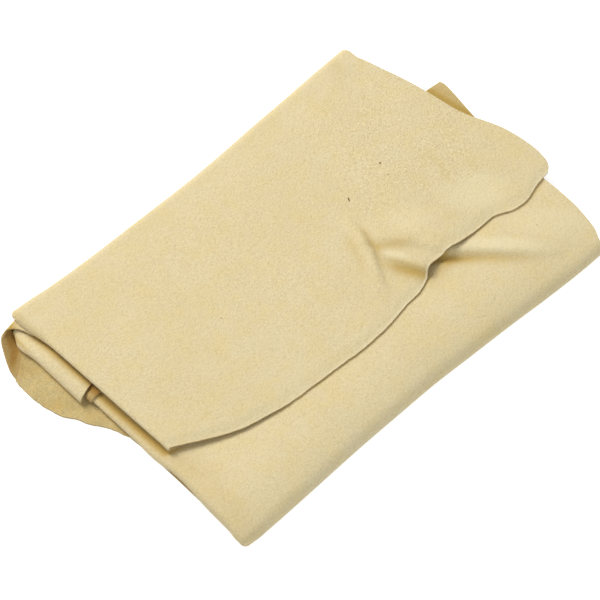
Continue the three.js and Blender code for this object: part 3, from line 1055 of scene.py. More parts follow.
@dataclass
class Flap:
    """The flap that comes over the back fold and lies on the middle panel, with its left margin turned under."""

    plan: HidePlan
    panel: MiddlePanel
    gap: float = 0.6
    reach: float = 137.0
    side_inset: float = 3.0
    side_skew: float = 3.5
    side_radius: float = 1.1
    back_side_radius: float = 2.3
    back_side_fade: float = 34.0
    leaf: float = 55.0
    leaf_start: float = 1.5
    leaf_neck: float = 6.0
    leaf_spread: float = 40.0
    leaf_slant: float = 6.0
    leaf_fade: float = 18.0
    drape: float = 20.0
    drape_share: float = 0.82
    back_fade: float = 14.0
    bend_strip: float = 0.12
    loft: float = 0.15
    loft_change: Ripple = Ripple(0.15, 30.0, 9.4)
    lip: float = 1.8
    lip_fade: float = 22.0
    lip_span: Span = (0.3, 0.75)
    end_round: float = 1.8
    rim_round: float = 0.2
    settle: float = 0.55
    settle_fade: float = 7.0
    settle_least: float = 0.02
    # The painted shadow along the flap's edges: its tone, a stronger tone along the sides, and how far it reaches.
    painted_shadow_tone: float = 0.5
    painted_shadow_side_tone: float = 1.0
    cover_side_span: Span = (2.0, 9.0)
    cover_front: float = 1.7
    cover_left: float = 4.8
    cover_right: float = 3.0
    cover_lap: float = 0.4
    cover_span: Span = (0.2, 2.6)
    # The painted highlight along the flap's cut edge, and a soft painted lightening behind it.
    worn: float = 0.42
    highlight_change: Ripple = Ripple(0.4, 13.0, 4.4)
    highlight_span: Span = (0.1, 1.2)
    highlight_haze: float = 0.12
    highlight_haze_width: float = 9.0
    ragged: tuple[Ripple, ...] = (Ripple(0.22, 3.2, 7.7), Ripple(0.3, 9.0, 2.2))
    cut_edge: WavyEdge = WavyEdge(
        (
            (0, 20.2), (0.016, 18), (0.063, 11), (0.117, 3.8), (0.156, 0.5), (0.217, -2.9), (0.273, -4.6),
            (0.344, -5.7), (0.418, -7.2), (0.498, -6.6), (0.563, -3.8), (0.6, -3), (0.622, -1.2), (0.634, 0.4),
            (0.648, 3.2), (0.665, 4.4), (0.7, 4.8), (0.739, 3.2), (0.787, 2.9), (0.841, 3.3), (0.885, -1.6),
            (0.918, -1.7), (0.968, 1.5), (1, 2.8),
        )
    )
    right_edge: WavyEdge = WavyEdge(
        (
            (0, -19.4), (0.05, -17.3), (0.13, -14.5), (0.22, -11.3), (0.34, -8), (0.42, -6.4),
            (0.5, -4.6), (0.56, -2.2), (0.62, 1.1), (0.72, 5.8), (0.86, 8.4), (0.93, 7.9), (0.965, 6.8),
            (0.985, 5.2), (1, 2.8),
        )
    )
    folds: tuple[SoftFold, ...] = (
        SoftFold(((35, 1), (38, -6), (50, -22), (57, -33), (62, -43)), (0, 1.0, 2.5, 2.2, 1.4), 12, 3.8),
        SoftFold(((31, -11), (37, -24), (47, -46)), (0, 2.2, 4.2), 8, 3),
        SoftFold(((35, 13), (34, 0), (29, -14), (22, -27), (18, -37)), (0, 1.9, 2.3, 1.8, 0.3), 2.5, 5.0),
        SoftFold(((108, 24), (104, 14), (101.5, 2), (98, -10), (97, -20)), (0, 0.5, 0.55, 0.5, 0), 1.7, 3.2),
        SoftFold(((104, 82), (110, 54)), (-1, -0.5), 7, 7),
    )
    # Painted shade on the flap: the shaded slopes of its puckers and ridges, its left edge near the back, and a soft
    # line near its back right.
    painted_shade_lines: tuple[SoftFold, ...] = (
        SoftFold(((30, -20), (34, -30), (41.5, -44)), (0, 0.8, 1), 3.2, 4.0),
        SoftFold(((30, -6), (35.5, -13.5), (44.5, -20), (55, -26)), (0, 0.5, 0.5, 0), 3.4, 3.4),
        SoftFold(((36.5, 6), (36, -3), (32, -15), (26, -27)), (0, 0.4, 0.4, 0), 2.2, 2.2),
        SoftFold(((28, 8), (26.5, -2), (22, -13), (16, -25)), (0, 0.26, 0.26, 0), 2.6, 2.6),
        SoftFold(((-131.5, 92), (-131, 70)), (0.3, 0.3), 2.5, 2.0),
        SoftFold(((101, 18), (98.5, 4), (95.5, -8), (95, -18)), (0, 0.22, 0.22, 0), 0.9, 3.2),
        SoftFold(((103, 86), (92, 68)), (0.16, 0), 3, 6),
    )
    piece: bpy.types.Object | None = field(default=None, init=False)

    @property
    def top(self) -> float:
        """The middle height of the flap at the back fold."""
        return self.plan.half + 2 * self.plan.back_radius

    @property
    def back_x(self) -> float:
        """The outside of the flap's left side at the back fold."""
        return self.plan.left_x + self.side_inset

    def roll(self, y: float) -> float:
        """The radius of the turned left side, which opens up towards the back fold."""
        away = self.plan.back_line_y - y
        return lerp(self.back_side_radius, self.side_radius, smooth(away, 0, self.back_side_fade))

    def face_left_x(self, q: float, y: float) -> float:
        """Where the flap's face ends and its turned left side starts, at a share and a place along the flap."""
        return self.back_x + self.side_skew * q + self.roll(y) + self.plan.half

    def cut_y(self, s: float) -> float:
        """The flap's cut edge, a little ragged.

        Args:
            s: The share across the flap.

        Returns:
            The place across the folds.
        """
        y = self.plan.pack_width / 2 - self.reach + self.cut_edge.at(s)
        x = s * self.plan.pack_length
        return y + sum(ripple.at(x, 0.0) for ripple in self.ragged)

    def edge_shadow_at(self, x: float, y: float) -> float:
        """How deep the painted shadow on the plies below is at a place of the plan, along the flap's edges.

        Args:
            x: Place along the folds.
            y: Place across the folds.

        Returns:
            The full painted shadow under the flap's edges, fading to 0 just outside them and further in.
        """
        back = self.plan.back_line_y
        q = min(max((back - y) / (back - self.cut_y(0.5)), 0.0), 1.0)
        left = self.back_x + self.side_skew * q
        right = self.plan.right_x + self.right_edge.at(q)
        across = min(max((x - left) / (right - left), 0.0), 1.0)
        from_front, from_left, from_right = y - self.cut_y(across), x - left, right - x
        front = smooth(from_front, -self.cover_front, self.cover_lap)
        sides = smooth(from_left, -self.cover_left, self.cover_lap)
        sides *= smooth(from_right, -self.cover_right, self.cover_lap)
        inside = smooth(min(from_front, from_left, from_right), *self.cover_span)
        away = smooth(min(from_left, from_right), *self.cover_side_span)
        return lerp(self.painted_shadow_side_tone, self.painted_shadow_tone, away) * front * sides * (1 - inside)

    def edge_highlight(self, x: float, y: float) -> float:
        """How much painted highlight the flap takes at a place of the plan: a thin pale line along its cut edge, and
        softly behind it.

        Args:
            x: Place along the folds.
            y: Place across the folds.

        Returns:
            The share of the pale colour.
        """
        left = self.back_x + self.side_skew
        right = self.plan.right_x + self.right_edge.at(1.0)
        away = y - self.cut_y(min(max((x - left) / (right - left), 0.0), 1.0))
        line = (self.worn + self.highlight_change.at(x, 0.0)) * (1 - smooth(away, *self.highlight_span))
        return line + self.highlight_haze * (1 - smooth(away, 0, self.highlight_haze_width))

    def rest_height(self, x: float, y: float) -> float:
        """The lowest that the flap can lie at a place of the plan: on the panel, and over its own margin.

        Args:
            x: Place along the folds.
            y: Place across the folds.

        Returns:
            The middle height of the flap there.
        """
        leaf_end = self.back_x + self.leaf
        leaf_front = self.cut_y(0.0) - self.leaf_slant * (x - self.back_x) / self.leaf
        over = 1 - smooth(x, leaf_end, leaf_end + self.leaf_fade)
        over *= 1 - self.drape_share * smooth(leaf_front - y, 0, self.drape)
        return self.panel.height(x, y) + self.plan.leather + self.gap + 2 * self.side_radius * over

    def lay(self, column: Mark, row: Mark) -> Point:
        """The place of one point of the flap's grid.

        Args:
            column: The turned leaf, the turned side or the face, from left to right.
            row: The back fold's bend or the face, from the base to the cut edge.

        Returns:
            The point on the middle of the leather.
        """
        if row.zone is Zone.TURN:
            return self._bend(column, row.share)
        if column.zone is Zone.FACE:
            return self._face(column.share, row.share)
        if column.zone is Zone.TURN:
            return self._side(column.share, row.share)
        return self._leaf(column.share, row.share)

    def _face(self, s: float, q: float) -> Point:
        """The top ply.

        Args:
            s: The share across it.
            q: The share along it.

        Returns:
            The point on the middle of the leather.
        """
        right = self.plan.right_x + self.right_edge.at(q)
        cut = self.cut_y(s)
        y = lerp(self.plan.back_line_y, cut, q)
        lip = self.lip * (1 - smooth(self.plan.back_line_y - y, 0, self.lip_fade))
        x = lerp(self.face_left_x(q, y) - lip, right, s)
        slope = lerp(self.top, self.rest_height(x, cut), q)
        fade = smooth(self.plan.back_line_y - y, 0, self.back_fade)
        folds = sum(fold.height(x, y) for fold in self.folds)
        free, rest = slope + folds * fade, self.rest_height(x, y) * fade
        loose = smooth(y - cut, 0, self.settle_fade)
        lift = (self.loft + self.loft_change.at(x, y)) * fade * loose
        soft = self.plan.ply_gap * loose + self.settle_least
        return x, y, (free + rest + math.hypot(free - rest, soft)) / 2 + lift - self.settle * (1 - loose)

    def _side(self, t: float, q: float) -> Point:
        """The turned left side.

        Args:
            t: The share of its half turn.
            q: The share along it.

        Returns:
            The point on the middle of the leather.
        """
        x, y, z = self._face(0.0, q)
        turn = math.pi * (1.5 - t)
        r = self.roll(y)
        return x + r * math.cos(turn), y, z - r + r * math.sin(turn)

    def _leaf(self, t: float, q: float) -> Point:
        """The margin turned under the flap.

        Args:
            t: The share of its width.
            q: The share along it.

        Returns:
            The point on the middle of the leather.
        """
        left, back_y, _ = self._face(0.0, q)
        away = self.plan.back_line_y - back_y
        x = left + lerp(self.leaf_neck, self.leaf, smooth(away, 0, self.leaf_spread)) * t
        y = back_y - self.leaf_slant * t * q
        across = (x - left) / (self.plan.right_x - left)
        along = (self.plan.back_line_y - y) / (self.plan.back_line_y - self.cut_y(across))
        return x, y, self._face(across, along)[2] - 2 * self.roll(back_y)

    def _bend(self, column: Mark, t: float) -> Point:
        """The back fold.

        Args:
            column: The turned leaf, the turned side or the face.
            t: The share of the bend, from base to flap.

        Returns:
            The point on the middle of the leather.
        """
        radius, roll = self.plan.back_radius, self.back_side_radius
        left = self.face_left_x(0.0, self.plan.back_line_y) - self.lip * smooth(t, *self.lip_span)
        inwards = 0.0
        if column.zone is Zone.FACE:
            round_off = self.end_round * math.sin(math.pi * t) ** 2
            x = lerp(left, self.plan.right_x + self.right_edge.at(0.0) - round_off, column.share)
        elif column.zone is Zone.TURN:
            turn = math.pi * (1.5 - column.share)
            x = left + roll * math.cos(turn)
            inwards = roll - roll * math.sin(turn)
        else:
            x = left + lerp(self.leaf_start, self.leaf_neck, t) * column.share
            inwards = 2 * roll
        middle = self.plan.half + radius
        strip = self.bend_strip
        level = (t - 0.5) / (0.5 - strip)
        bend_y = self.plan.back_y(x)
        if abs(level) > 1:
            side = math.copysign(1.0, level)
            y = lerp(bend_y, self.plan.back_line_y, (abs(level) - 1) * (0.5 - strip) / strip)
            return x, y, middle + side * (radius - inwards)
        turn = math.pi / 2 * level
        y = bend_y + (radius - inwards) * math.cos(turn)
        return x, y, middle + (radius - inwards) * math.sin(turn)

    def build(self, finishes: Sequence[bpy.types.Material]) -> None:
        """Lays the flap as one sheet, from the base round the back fold to its cut edge.

        Args:
            finishes: The materials of its upper side, its other side and its cut edge.
        """
        columns = marks(Zone.LEAF, (0.1, 14), start=1.0) + marks(Zone.TURN, (9 / 10, 9))
        columns += marks(Zone.FACE, (0.04, 8), (0.54, 84), (0.75, 84), (1.0, 44))
        rows = marks(Zone.TURN, (0.12, 2), (0.88, 16), (0.94, 1)) + marks(Zone.FACE, (0.5, 40), (0.96, 76), (1.0, 9))
        self.piece = Ply(
            name="flap",
            columns=columns,
            rows=rows,
            lay=self.lay,
            finishes=finishes,
            thickness=self.plan.leather,
            turned_over=True,
            rim_round=self.rim_round,
            painted_shades=[shade_line.height for shade_line in self.painted_shade_lines],
            shade_both_sides=False,
            edge_highlight=self.edge_highlight,
        ).build()

    def dress(self) -> None:
        """Hides the frame's parts that the flap stands for, and bakes its place into its mesh."""
        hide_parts("back_fold", "flap_top", "flap_side_fold", "flap_under_leaf")
        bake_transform(self.piece)


@dataclass
class BasePly:
    """The ply on the table, with the lobe of hide that sticks out at the left."""

    plan: HidePlan
    panel: MiddlePanel
    flap: Flap
    lobe_reach: float = 20.0
    lobe_front_y: float = -2.0
    lobe_back_y: float = 64.25
    right_inset_front: float = 11.0
    right_inset_back: float = 19.4
    curl_gap: float = 0.1
    front_fade: float = 14.0
    front_power: int = 6
    rise: float = 0.44
    rise_change: Ripple = Ripple(0.36, 11.0, 4.2)
    rise_width: float = 9.0
    rise_side: Span = (2.0, 12.0)
    rise_front: Span = (4.0, 18.0)
    rise_back: Span = (46.0, 64.0)
    ragged: tuple[Ripple, ...] = (Ripple(0.25, 3.4, 5.5), Ripple(0.2, 1.3, 1.5))
    # Painted shade inside the curled corner and along its foot, on the base and on the curl.
    painted_nook_shade: SoftFold = SoftFold(((-153, 70), (-147, 79), (-138, 88)), (0.6, 0.6, 0.5), 6, 7)
    painted_foot_shade: SoftFold = SoftFold(
        ((-137, 89), (-138.4, 87.2), (-141.6, 81.2), (-143, 77.5), (-148.3, 73), (-152, 70)),
        (0.7, 0.95, 0.95, 0.85, 0.45, 0),
        2.6,
        2.0,
    )
    lobe_edge: WavyEdge = WavyEdge(
        (
            (0, 0.2), (0.04, 0.8), (0.1, 0.9), (0.2, 1.3), (0.27, 0.9), (0.35, 0.1), (0.45, -1.8),
            (0.5, -2.7), (0.58, -6.2), (0.63, -7.9), (0.68, -9.1), (0.74, -11.6), (0.8, -14.5),
            (0.86, -16.6), (0.92, -17.9), (1, -19.8),
        )
    )
    piece: bpy.types.Object | None = field(default=None, init=False)

    @property
    def lobe_x(self) -> float:
        """The far left of the lobe."""
        return self.plan.left_x - self.lobe_reach

    @property
    def curl_x(self) -> float:
        """Where the curled corner meets the back fold."""
        return self.flap.back_x - self.curl_gap

    def left_x(self, y: float) -> float:
        """The left outline: under the panel's side, round the lobe, and along the line where the corner curls.

        Args:
            y: Place across the folds.

        Returns:
            The place along the folds.
        """
        if y > self.lobe_back_y:
            share = (y - self.lobe_back_y) / (self.plan.back_line_y - self.lobe_back_y)
            return lerp(self.lobe_x, self.curl_x, share)
        share = (self.lobe_back_y - y) / (self.lobe_back_y - self.lobe_front_y)
        if share <= 1:
            return self.lobe_x - self.lobe_edge.at(share) + sum(ripple.at(0.0, y) for ripple in self.ragged)
        inside = smooth(self.lobe_front_y - y, 0, self.front_fade)
        return lerp(self.plan.left_x, self.panel.corner_x, inside)

    def lay(self, column: Mark, row: Mark) -> Point:
        """The place of one point of the base's grid.

        Args:
            column: A share from left to right.
            row: A share from front to back.

        Returns:
            The point on the middle of the leather.
        """
        y = lerp(self.plan.front_axis_y, self.plan.back_line_y, row.share)
        left = self.left_x(y)
        right = self.plan.right_x - lerp(self.right_inset_front, self.right_inset_back, row.share)
        x = lerp(left, right, column.share)
        front = self.panel.bend_y(max(x, self.panel.corner_x)) - self.plan.front_axis_y
        lobe = smooth(self.plan.left_x - x, *self.rise_side)
        lobe *= smooth(y, *self.rise_front) * (1 - smooth(y, *self.rise_back))
        edge = 1 - smooth(x - left, 0, self.rise_width)
        lift = lobe * edge * (self.rise + self.rise_change.at(x, y))
        return x, y + front * (1 - row.share) ** self.front_power, self.plan.half + max(lift, 0.0)

    def build(self, finishes: Sequence[bpy.types.Material]) -> None:
        """Lays the base as one flat sheet between the two folds.

        Args:
            finishes: The materials of its upper side, its other side and its cut edge.
        """
        self.piece = Ply(
            name="base_ply",
            columns=marks(Zone.FACE, (0.1, 28), (1.0, 50)),
            rows=marks(Zone.FACE, (0.45, 26), (1.0, 190)),
            lay=self.lay,
            finishes=finishes,
            thickness=self.plan.leather,
            painted_shades=[self.painted_foot_shade.height, self.painted_nook_shade.height],
        ).build()

    def dress(self) -> None:
        """Ties the base to the frame."""
        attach(self.piece, "pack")
        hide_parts("base_panel")


@dataclass
class CornerCurl:
    """The corner of the lobe that curls up and over at the back left, with its strip running in under the flap."""

    plan: HidePlan
    base: BasePly
    radius: float = 2.9
    back_inset: float = 2.8
    strip: float = 11.0
    strip_end: float = 0.9
    back_shift: float = 1.5
    edge_start: Span = (0.4, 1.5)
    edge: tuple[Point, ...] = (
        (0.06, 0.3, 0.12), (0.2, 0.64, 0.34), (0.38, 0.98, 0.7), (0.54, 1.06, 0.95), (0.69, 1.05, 1.0),
        (0.86, 0.86, 1.0),
    )
    piece: bpy.types.Object | None = field(default=None, init=False)

    @property
    def axis_y(self) -> float:
        """The middle line of the curl's bend."""
        return self.plan.pack_width / 2 - self.back_inset - self.radius - self.plan.half

    @property
    def top(self) -> float:
        """The middle height of the curl's upper side."""
        return self.plan.half + 2 * self.radius

    def inner(self) -> list[Point]:
        """The curl's profile beside the back fold.

        Returns:
            The points, from the base up and over.
        """
        x, y, z = self.base.curl_x, self.axis_y + self.back_shift, self.plan.half + self.radius
        points = [(x, self.plan.back_line_y, self.plan.half)]
        for degrees in (-90, -45, 0, 45, 90):
            turn = math.radians(degrees)
            points.append((x, y + self.radius * math.cos(turn), z + self.radius * math.sin(turn)))
        points.append((x, self.axis_y - self.strip, self.top))
        return points

    def outer(self) -> list[Point]:
        """The curl's cut edge, which spirals up from the lobe.

        Returns:
            The points, from the base up and over.
        """
        x0, y0, z0 = self.base.lobe_x, self.base.lobe_back_y, self.plan.half
        x1, y1, z1 = self.base.curl_x, self.axis_y, self.top
        points = [(x0, y0, z0), (x0 + self.edge_start[0], y0 + self.edge_start[1], z0)]
        points += [(lerp(x0, x1, a), lerp(y0, y1, b), lerp(z0, z1, c)) for a, b, c in self.edge]
        points.append((x1 - self.strip_end, y1 - self.strip + self.strip_end, z1))
        return points

    @staticmethod
    def along(points: list[Point], share: float) -> Vector:
        """A place on a smooth curve through some points.

        Args:
            points: The points.
            share: The share along the curve.

        Returns:
            The place.
        """
        spans = len(points) - 1
        k = min(int(share * spans), spans - 1)
        t = share * spans - k
        p0, p1, p2, p3 = (Vector(points[min(max(k + d, 0), spans)]) for d in (-1, 0, 1, 2))
        return 0.5 * (
            2 * p1 + (p2 - p0) * t + (2 * p0 - 5 * p1 + 4 * p2 - p3) * t**2 + (3 * p1 - p0 - 3 * p2 + p3) * t**3
        )

    def lay(self, column: Mark, row: Mark) -> Point:
        """The place of one point of the curl's grid.

        Args:
            column: A share from the cut edge to the back fold.
            row: A share from the base up and over.

        Returns:
            The point on the middle of the leather.
        """
        outer = self.along(self.outer(), row.share)
        return tuple(outer.lerp(self.along(self.inner(), row.share), column.share))

    def build(self, finishes: Sequence[bpy.types.Material]) -> None:
        """Lofts the curl from its cut edge to its profile beside the back fold.

        Args:
            finishes: The materials of its upper side, its other side and its cut edge.
        """
        self.piece = Ply(
            name="corner_curl_ply",
            columns=marks(Zone.FACE, (1.0, 22)),
            rows=marks(Zone.FACE, (1.0, 48)),
            lay=self.lay,
            finishes=finishes,
            thickness=self.plan.leather,
            painted_shades=[self.base.painted_foot_shade.height, self.base.painted_nook_shade.height],
        ).build()

    def dress(self) -> None:
        """Ties the curl to the frame."""
        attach(self.piece, "pack")
        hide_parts("corner_curl")


@dataclass
class TuckedLeg:
    """The leg of hide tucked in at the left: an upper leaf, a fold edge and a lower leaf."""

    plan: HidePlan
    panel: MiddlePanel
    curl: CornerCurl
    edge_reach: float = 5.7
    radius: float = 1.2
    width: float = 42.0
    crest: float = 6.1
    end_gap: float = 5.0
    tip_gap: float = 0.1
    tip_roll: float = 2.4
    tip_clearance: float = 0.2
    tip_inset: float = 2.2
    tip_length: float = 9.0
    fall_length: float = 28.0
    end_slant: float = 3.4
    slant_width: float = 10.0
    slant_power: int = 3
    roll: float = 4.6
    crevice: float = 1.4
    crevice_place: float = 6.8
    crevice_width: float = 2.6
    crevice_start: float = 3.0
    crevice_loss: float = 0.7
    # Painted shade: a dark line along the open pleat at the leg's tip.
    painted_pleat_shade: SoftFold = SoftFold(
        ((-137.6, 86), (-139.2, 80), (-139.4, 74), (-138.8, 66)),
        (0.8, 0.8, 0.5, 0),
        1.0,
        1.0,
    )
    flare: float = 1.6
    flare_place: float = 10.5
    flare_width: float = 6.0
    lower_share: float = 0.35
    piece: bpy.types.Object | None = field(default=None, init=False)

    @property
    def end_y(self) -> float:
        """The cut end that faces the front."""
        return self.panel.end_y + self.end_gap

    @property
    def tip_y(self) -> float:
        """The tip inside the curled corner."""
        return self.curl.axis_y - self.tip_clearance

    def edge_x(self, y: float) -> float:
        """The middle of the fold edge's turn.

        Args:
            y: Place across the folds.

        Returns:
            The place along the folds.
        """
        inset = self.tip_inset * smooth(y, self.tip_y - self.tip_length, self.tip_y)
        inset -= self.flare * math.exp(-(((self.tip_y - y - self.flare_place) / self.flare_width) ** 2))
        return self.plan.left_x - self.edge_reach + self.radius + self.plan.half + inset

    def lay(self, column: Mark, row: Mark) -> Point:
        """The place of one point of the leg's grid.

        Args:
            column: The lower leaf, the fold edge or the upper leaf.
            row: A share from the cut end to the tip.

        Returns:
            The point on the middle of the leather.
        """
        rough_y = lerp(self.end_y, self.tip_y, row.share)
        x, z = self._section(column, rough_y)
        slant = self.end_slant * (min((x - self.edge_x(rough_y)) / self.slant_width, 1.0) - 0.5)
        return x, rough_y + slant * (1 - row.share) ** self.slant_power, z

    def _section(self, column: Mark, y: float) -> tuple[float, float]:
        """The leg's section: a flat lower leaf, a round roll and an upper leaf that dips beside the flap.

        Args:
            column: The lower leaf, the roll or the upper leaf.
            y: The place along the leg.

        Returns:
            The place across the leg and the height.
        """
        low, edge, r = self.plan.second_ply, self.edge_x(y), self.radius
        fall = smooth(y, self.tip_y - self.fall_length, self.tip_y)
        crest = lerp(self.crest, low + 2 * r + self.tip_gap, fall)
        if column.zone is Zone.LEAF:
            return edge + self.width * column.share, low
        if column.zone is Zone.TURN and column.share < self.lower_share:
            turn = math.pi * (1.5 - 0.5 * column.share / self.lower_share)
            return edge + r * math.cos(turn), low + r + r * math.sin(turn)
        roll = lerp(self.roll, self.tip_roll, fall)
        top_x = edge - r + roll
        if column.zone is Zone.TURN:
            turn = math.pi * (1.0 - 0.5 * (column.share - self.lower_share) / (1 - self.lower_share))
            return top_x + roll * math.cos(turn), lerp(low + r, crest, math.sin(turn))
        away = (self.width - roll) * column.share
        dip = self.crevice * (1 - self.crevice_loss * fall) * smooth(away, 0, self.crevice_start)
        dip *= math.exp(-(((away - self.crevice_place) / self.crevice_width) ** 2))
        return top_x + away, crest - dip

    def build(self, finishes: Sequence[bpy.types.Material]) -> None:
        """Lays the leg as one folded sheet.

        Args:
            finishes: The materials of its upper side, its other side and its cut edge.
        """
        columns = marks(Zone.LEAF, (0.1, 12), start=1.0) + marks(Zone.TURN, (self.lower_share, 4), (0.95, 12))
        columns += marks(Zone.FACE, (0.35, 26), (1.0, 12))
        self.piece = Ply(
            name="tucked_leg",
            columns=columns,
            rows=marks(Zone.FACE, (1.0, 60)),
            lay=self.lay,
            finishes=finishes,
            thickness=self.plan.leather,
            painted_shades=[self.panel.painted_edge_shadow, self.painted_pleat_shade.height],
            shade_both_sides=False,
        ).build()

    def dress(self) -> None:
        """Ties the leg to the frame."""
        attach(self.piece, "pack")
        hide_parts("tucked_leg_top", "tucked_leg_fold")


@dataclass
class LegLining:
    """The short inner ply that shows past the end of the tucked leg."""

    plan: HidePlan
    panel: MiddlePanel
    leg: TuckedLeg
    overlap: float = 0.9
    tucked: float = 5.0
    width: float = 22.0
    wrap_gap: float = 0.1
    dive: Span = (0.12, 0.75)
    # The painted shade of the whole lining, which lies in the shadow of the leg's end and of the flap.
    tone: float = 0.4
    piece: bpy.types.Object | None = field(default=None, init=False)

    def lay(self, column: Mark, row: Mark) -> Point:
        """The place of one point of the lining's grid.

        Args:
            column: Round the panel's turned side, or inwards from there.
            row: A share from the panel's end into the leg.

        Returns:
            The point on the middle of the leather.
        """
        low, radius = self.plan.second_ply, self.panel.side_radius(self.panel.end_y)
        outer = self.panel.outer_x(self.panel.end_y) + self.plan.half
        wrap = radius + self.plan.leather + self.wrap_gap
        middle_x = outer + radius
        if column.zone is Zone.TURN:
            turn = math.pi * (1.0 - 0.5 * column.share)
            x, front_z = middle_x + wrap * math.cos(turn), low + radius + wrap * math.sin(turn)
        else:
            x, front_z = middle_x + self.width * column.share, low + radius + wrap
        y = lerp(self.panel.cut_y(x) - self.overlap, self.leg.end_y + self.tucked, row.share)
        inside = low + self.plan.leather + self.plan.ply_gap + self.wrap_gap
        return x, y, lerp(front_z, inside, smooth(row.share, *self.dive))

    def build(self, finishes: Sequence[bpy.types.Material]) -> None:
        """Lays the lining as one short sheet.

        Args:
            finishes: The materials of its upper side, its other side and its cut edge.
        """
        self.piece = Ply(
            name="leg_lining",
            columns=marks(Zone.TURN, (0.9, 9)) + marks(Zone.FACE, (1.0, 24)),
            rows=marks(Zone.FACE, (1.0, 18)),
            lay=self.lay,
            finishes=finishes,
            thickness=self.plan.leather,
            painted_shades=[self.panel.painted_edge_shadow, lambda x, y: self.tone],
        ).build()

    def dress(self) -> None:
        """Ties the lining to the frame."""
        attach(self.piece, "pack")
        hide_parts("tucked_leg_lining")


@dataclass(frozen=True)
class Lamp:
    """A large round lamp that looks at the pack: its place and its width in metres, its power in watts, its tint."""

    name: str
    place: Point
    width: float
    power: float
    tint: Point

    def hang(self) -> None:
        """Puts the lamp into the scene."""
        data = bpy.data.lights.new(self.name, "AREA")
        data.shape = "DISK"
        data.size = self.width
        data.energy = self.power
        data.color = self.tint
        lamp = bpy.data.objects.new(self.name, data)
        lamp.location = self.place
        lamp.rotation_euler = lamp.location.to_track_quat("Z", "Y").to_euler()
        bpy.context.scene.collection.objects.link(lamp)


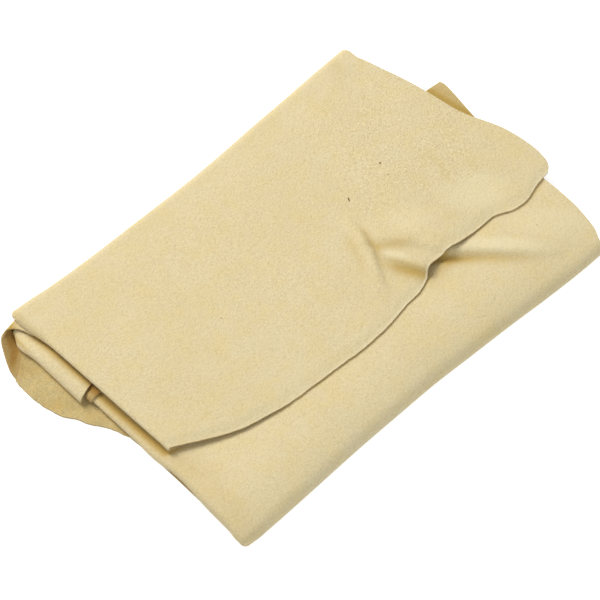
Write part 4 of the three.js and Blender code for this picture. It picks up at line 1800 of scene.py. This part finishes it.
@dataclass(frozen=True)
class Studio:
    """The floor, the soft light and the camera at the photograph's view."""

    target: Point = (-14.76, -5.26, 4.0)
    azimuth: float = -44.0
    elevation: float = 59.0
    distance: float = 1500.0
    focal_pixels: float = 2830.2
    sensor: float = 36.0
    clip: Span = (0.05, 50.0)
    floor_side: float = 12.0
    floor_tone: float = 0.88
    floor_glow: float = 0.65
    world_light: float = 0.38
    world_tint: Point = (1.0, 0.99, 0.97)
    lamps: tuple[Lamp, ...] = (
        Lamp("key", (-0.05, 1.55, 1.42), 1.2, 38.5, (1.0, 0.985, 0.955)),
        Lamp("fill", (-0.3, -1.5, 0.75), 1.4, 9.5, (0.86, 0.94, 1.0)),
    )

    def build(self) -> None:
        """Makes the whole studio."""
        bpy.context.scene.view_settings.view_transform = "Standard"
        self._camera()
        self._world()
        self._floor()
        for lamp in self.lamps:
            lamp.hang()

    def _camera(self) -> None:
        """Puts the camera at the photograph's place."""
        data = bpy.data.cameras.new("camera")
        data.sensor_width = self.sensor
        data.lens = self.focal_pixels / PHOTO_PIXELS * self.sensor
        data.clip_start, data.clip_end = self.clip
        camera = bpy.data.objects.new("camera", data)
        a, e = math.radians(self.azimuth), math.radians(self.elevation)
        back = Vector((math.sin(a) * math.cos(e), -math.cos(a) * math.cos(e), math.sin(e)))
        camera.location = (Vector(self.target) + back * self.distance) * MM
        camera.rotation_euler = (-back).to_track_quat("-Z", "Y").to_euler()
        bpy.context.scene.collection.objects.link(camera)
        bpy.context.scene.camera = camera

    def _world(self) -> None:
        """Lights the object evenly from all round, and shows white behind it."""
        world = bpy.data.worlds.new("studio")
        bpy.context.scene.world = world
        world.use_nodes = True
        tree = world.node_tree
        light = tree.nodes["Background"]
        light.inputs["Color"].default_value = (*self.world_tint, 1.0)
        light.inputs["Strength"].default_value = self.world_light
        white = tree.nodes.new("ShaderNodeBackground")
        white.inputs["Color"].default_value = (1.0, 1.0, 1.0, 1.0)
        mix = tree.nodes.new("ShaderNodeMixShader")
        tree.links.new(self._seen(tree), mix.inputs[0])
        tree.links.new(light.outputs[0], mix.inputs[1])
        tree.links.new(white.outputs[0], mix.inputs[2])
        tree.links.new(mix.outputs[0], tree.nodes["World Output"].inputs["Surface"])

    @staticmethod
    def _seen(tree: Nodes) -> Socket:
        """The rays that look at the background: from the camera, in a mirror image and through clear things.

        Args:
            tree: The nodes of the world or of a material.

        Returns:
            1 for those rays, 0 for the light's other rays.
        """
        path = tree.nodes.new("ShaderNodeLightPath")
        total = path.outputs["Is Camera Ray"]
        for name in ("Is Glossy Ray", "Is Transmission Ray"):
            add = tree.nodes.new("ShaderNodeMath")
            add.operation = "ADD"
            add.use_clamp = True
            tree.links.new(total, add.inputs[0])
            tree.links.new(path.outputs[name], add.inputs[1])
            total = add.outputs[0]
        return total

    def _floor(self) -> None:
        """Lays a plain pale floor that shows white to the camera and keeps the object's shadow."""
        mesh = bpy.data.meshes.new("floor")
        bm = bmesh.new()
        bmesh.ops.create_grid(bm, x_segments=1, y_segments=1, size=self.floor_side / 2)
        bm.to_mesh(mesh)
        bm.free()
        floor = bpy.data.objects.new("floor", mesh)
        bpy.context.scene.collection.objects.link(floor)
        material = bpy.data.materials.new("floor_white")
        material.use_nodes = True
        tree = material.node_tree
        shader = tree.nodes["Principled BSDF"]
        shader.inputs["Base Color"].default_value = (self.floor_tone, self.floor_tone, self.floor_tone, 1.0)
        shader.inputs["Roughness"].default_value = 1.0
        shader.inputs["Specular IOR Level"].default_value = 0.0
        glow = tree.nodes.new("ShaderNodeEmission")
        glow.inputs["Strength"].default_value = self.floor_glow
        seen = tree.nodes.new("ShaderNodeMixShader")
        none = tree.nodes.new("ShaderNodeEmission")
        none.inputs["Strength"].default_value = 0.0
        tree.links.new(self._seen(tree), seen.inputs[0])
        tree.links.new(none.outputs[0], seen.inputs[1])
        tree.links.new(glow.outputs[0], seen.inputs[2])
        both = tree.nodes.new("ShaderNodeAddShader")
        tree.links.new(shader.outputs[0], both.inputs[0])
        tree.links.new(seen.outputs[0], both.inputs[1])
        tree.links.new(both.outputs[0], tree.nodes["Material Output"].inputs["Surface"])
        mesh.materials.append(material)


def main() -> None:
    """Builds the hide's plies in order and reports each one."""
    logging.basicConfig(level=logging.INFO, format="%(message)s")
    Studio().build()
    grain, flesh, cut = GRAIN.material(), FLESH.material(), CUT.material()
    outside, inside = (grain, flesh, cut), (flesh, grain, cut)
    plan = HidePlan()
    panel = MiddlePanel(plan)
    flap = Flap(plan, panel)
    # The panel, the leg and the lining take the painted shadow of the flap's edges.
    panel.painted_edge_shadow = flap.edge_shadow_at
    base = BasePly(plan, panel, flap)
    curl = CornerCurl(plan, base)
    leg = TuckedLeg(plan, panel, curl)
    lining = LegLining(plan, panel, leg)
    for ply, finishes in (
        (base, inside),
        (curl, inside),
        (panel, outside),
        (flap, outside),
        (leg, outside),
        (lining, inside),
    ):
        ply.build(finishes)
        ply.dress()


if __name__ == "__main__":
    main()
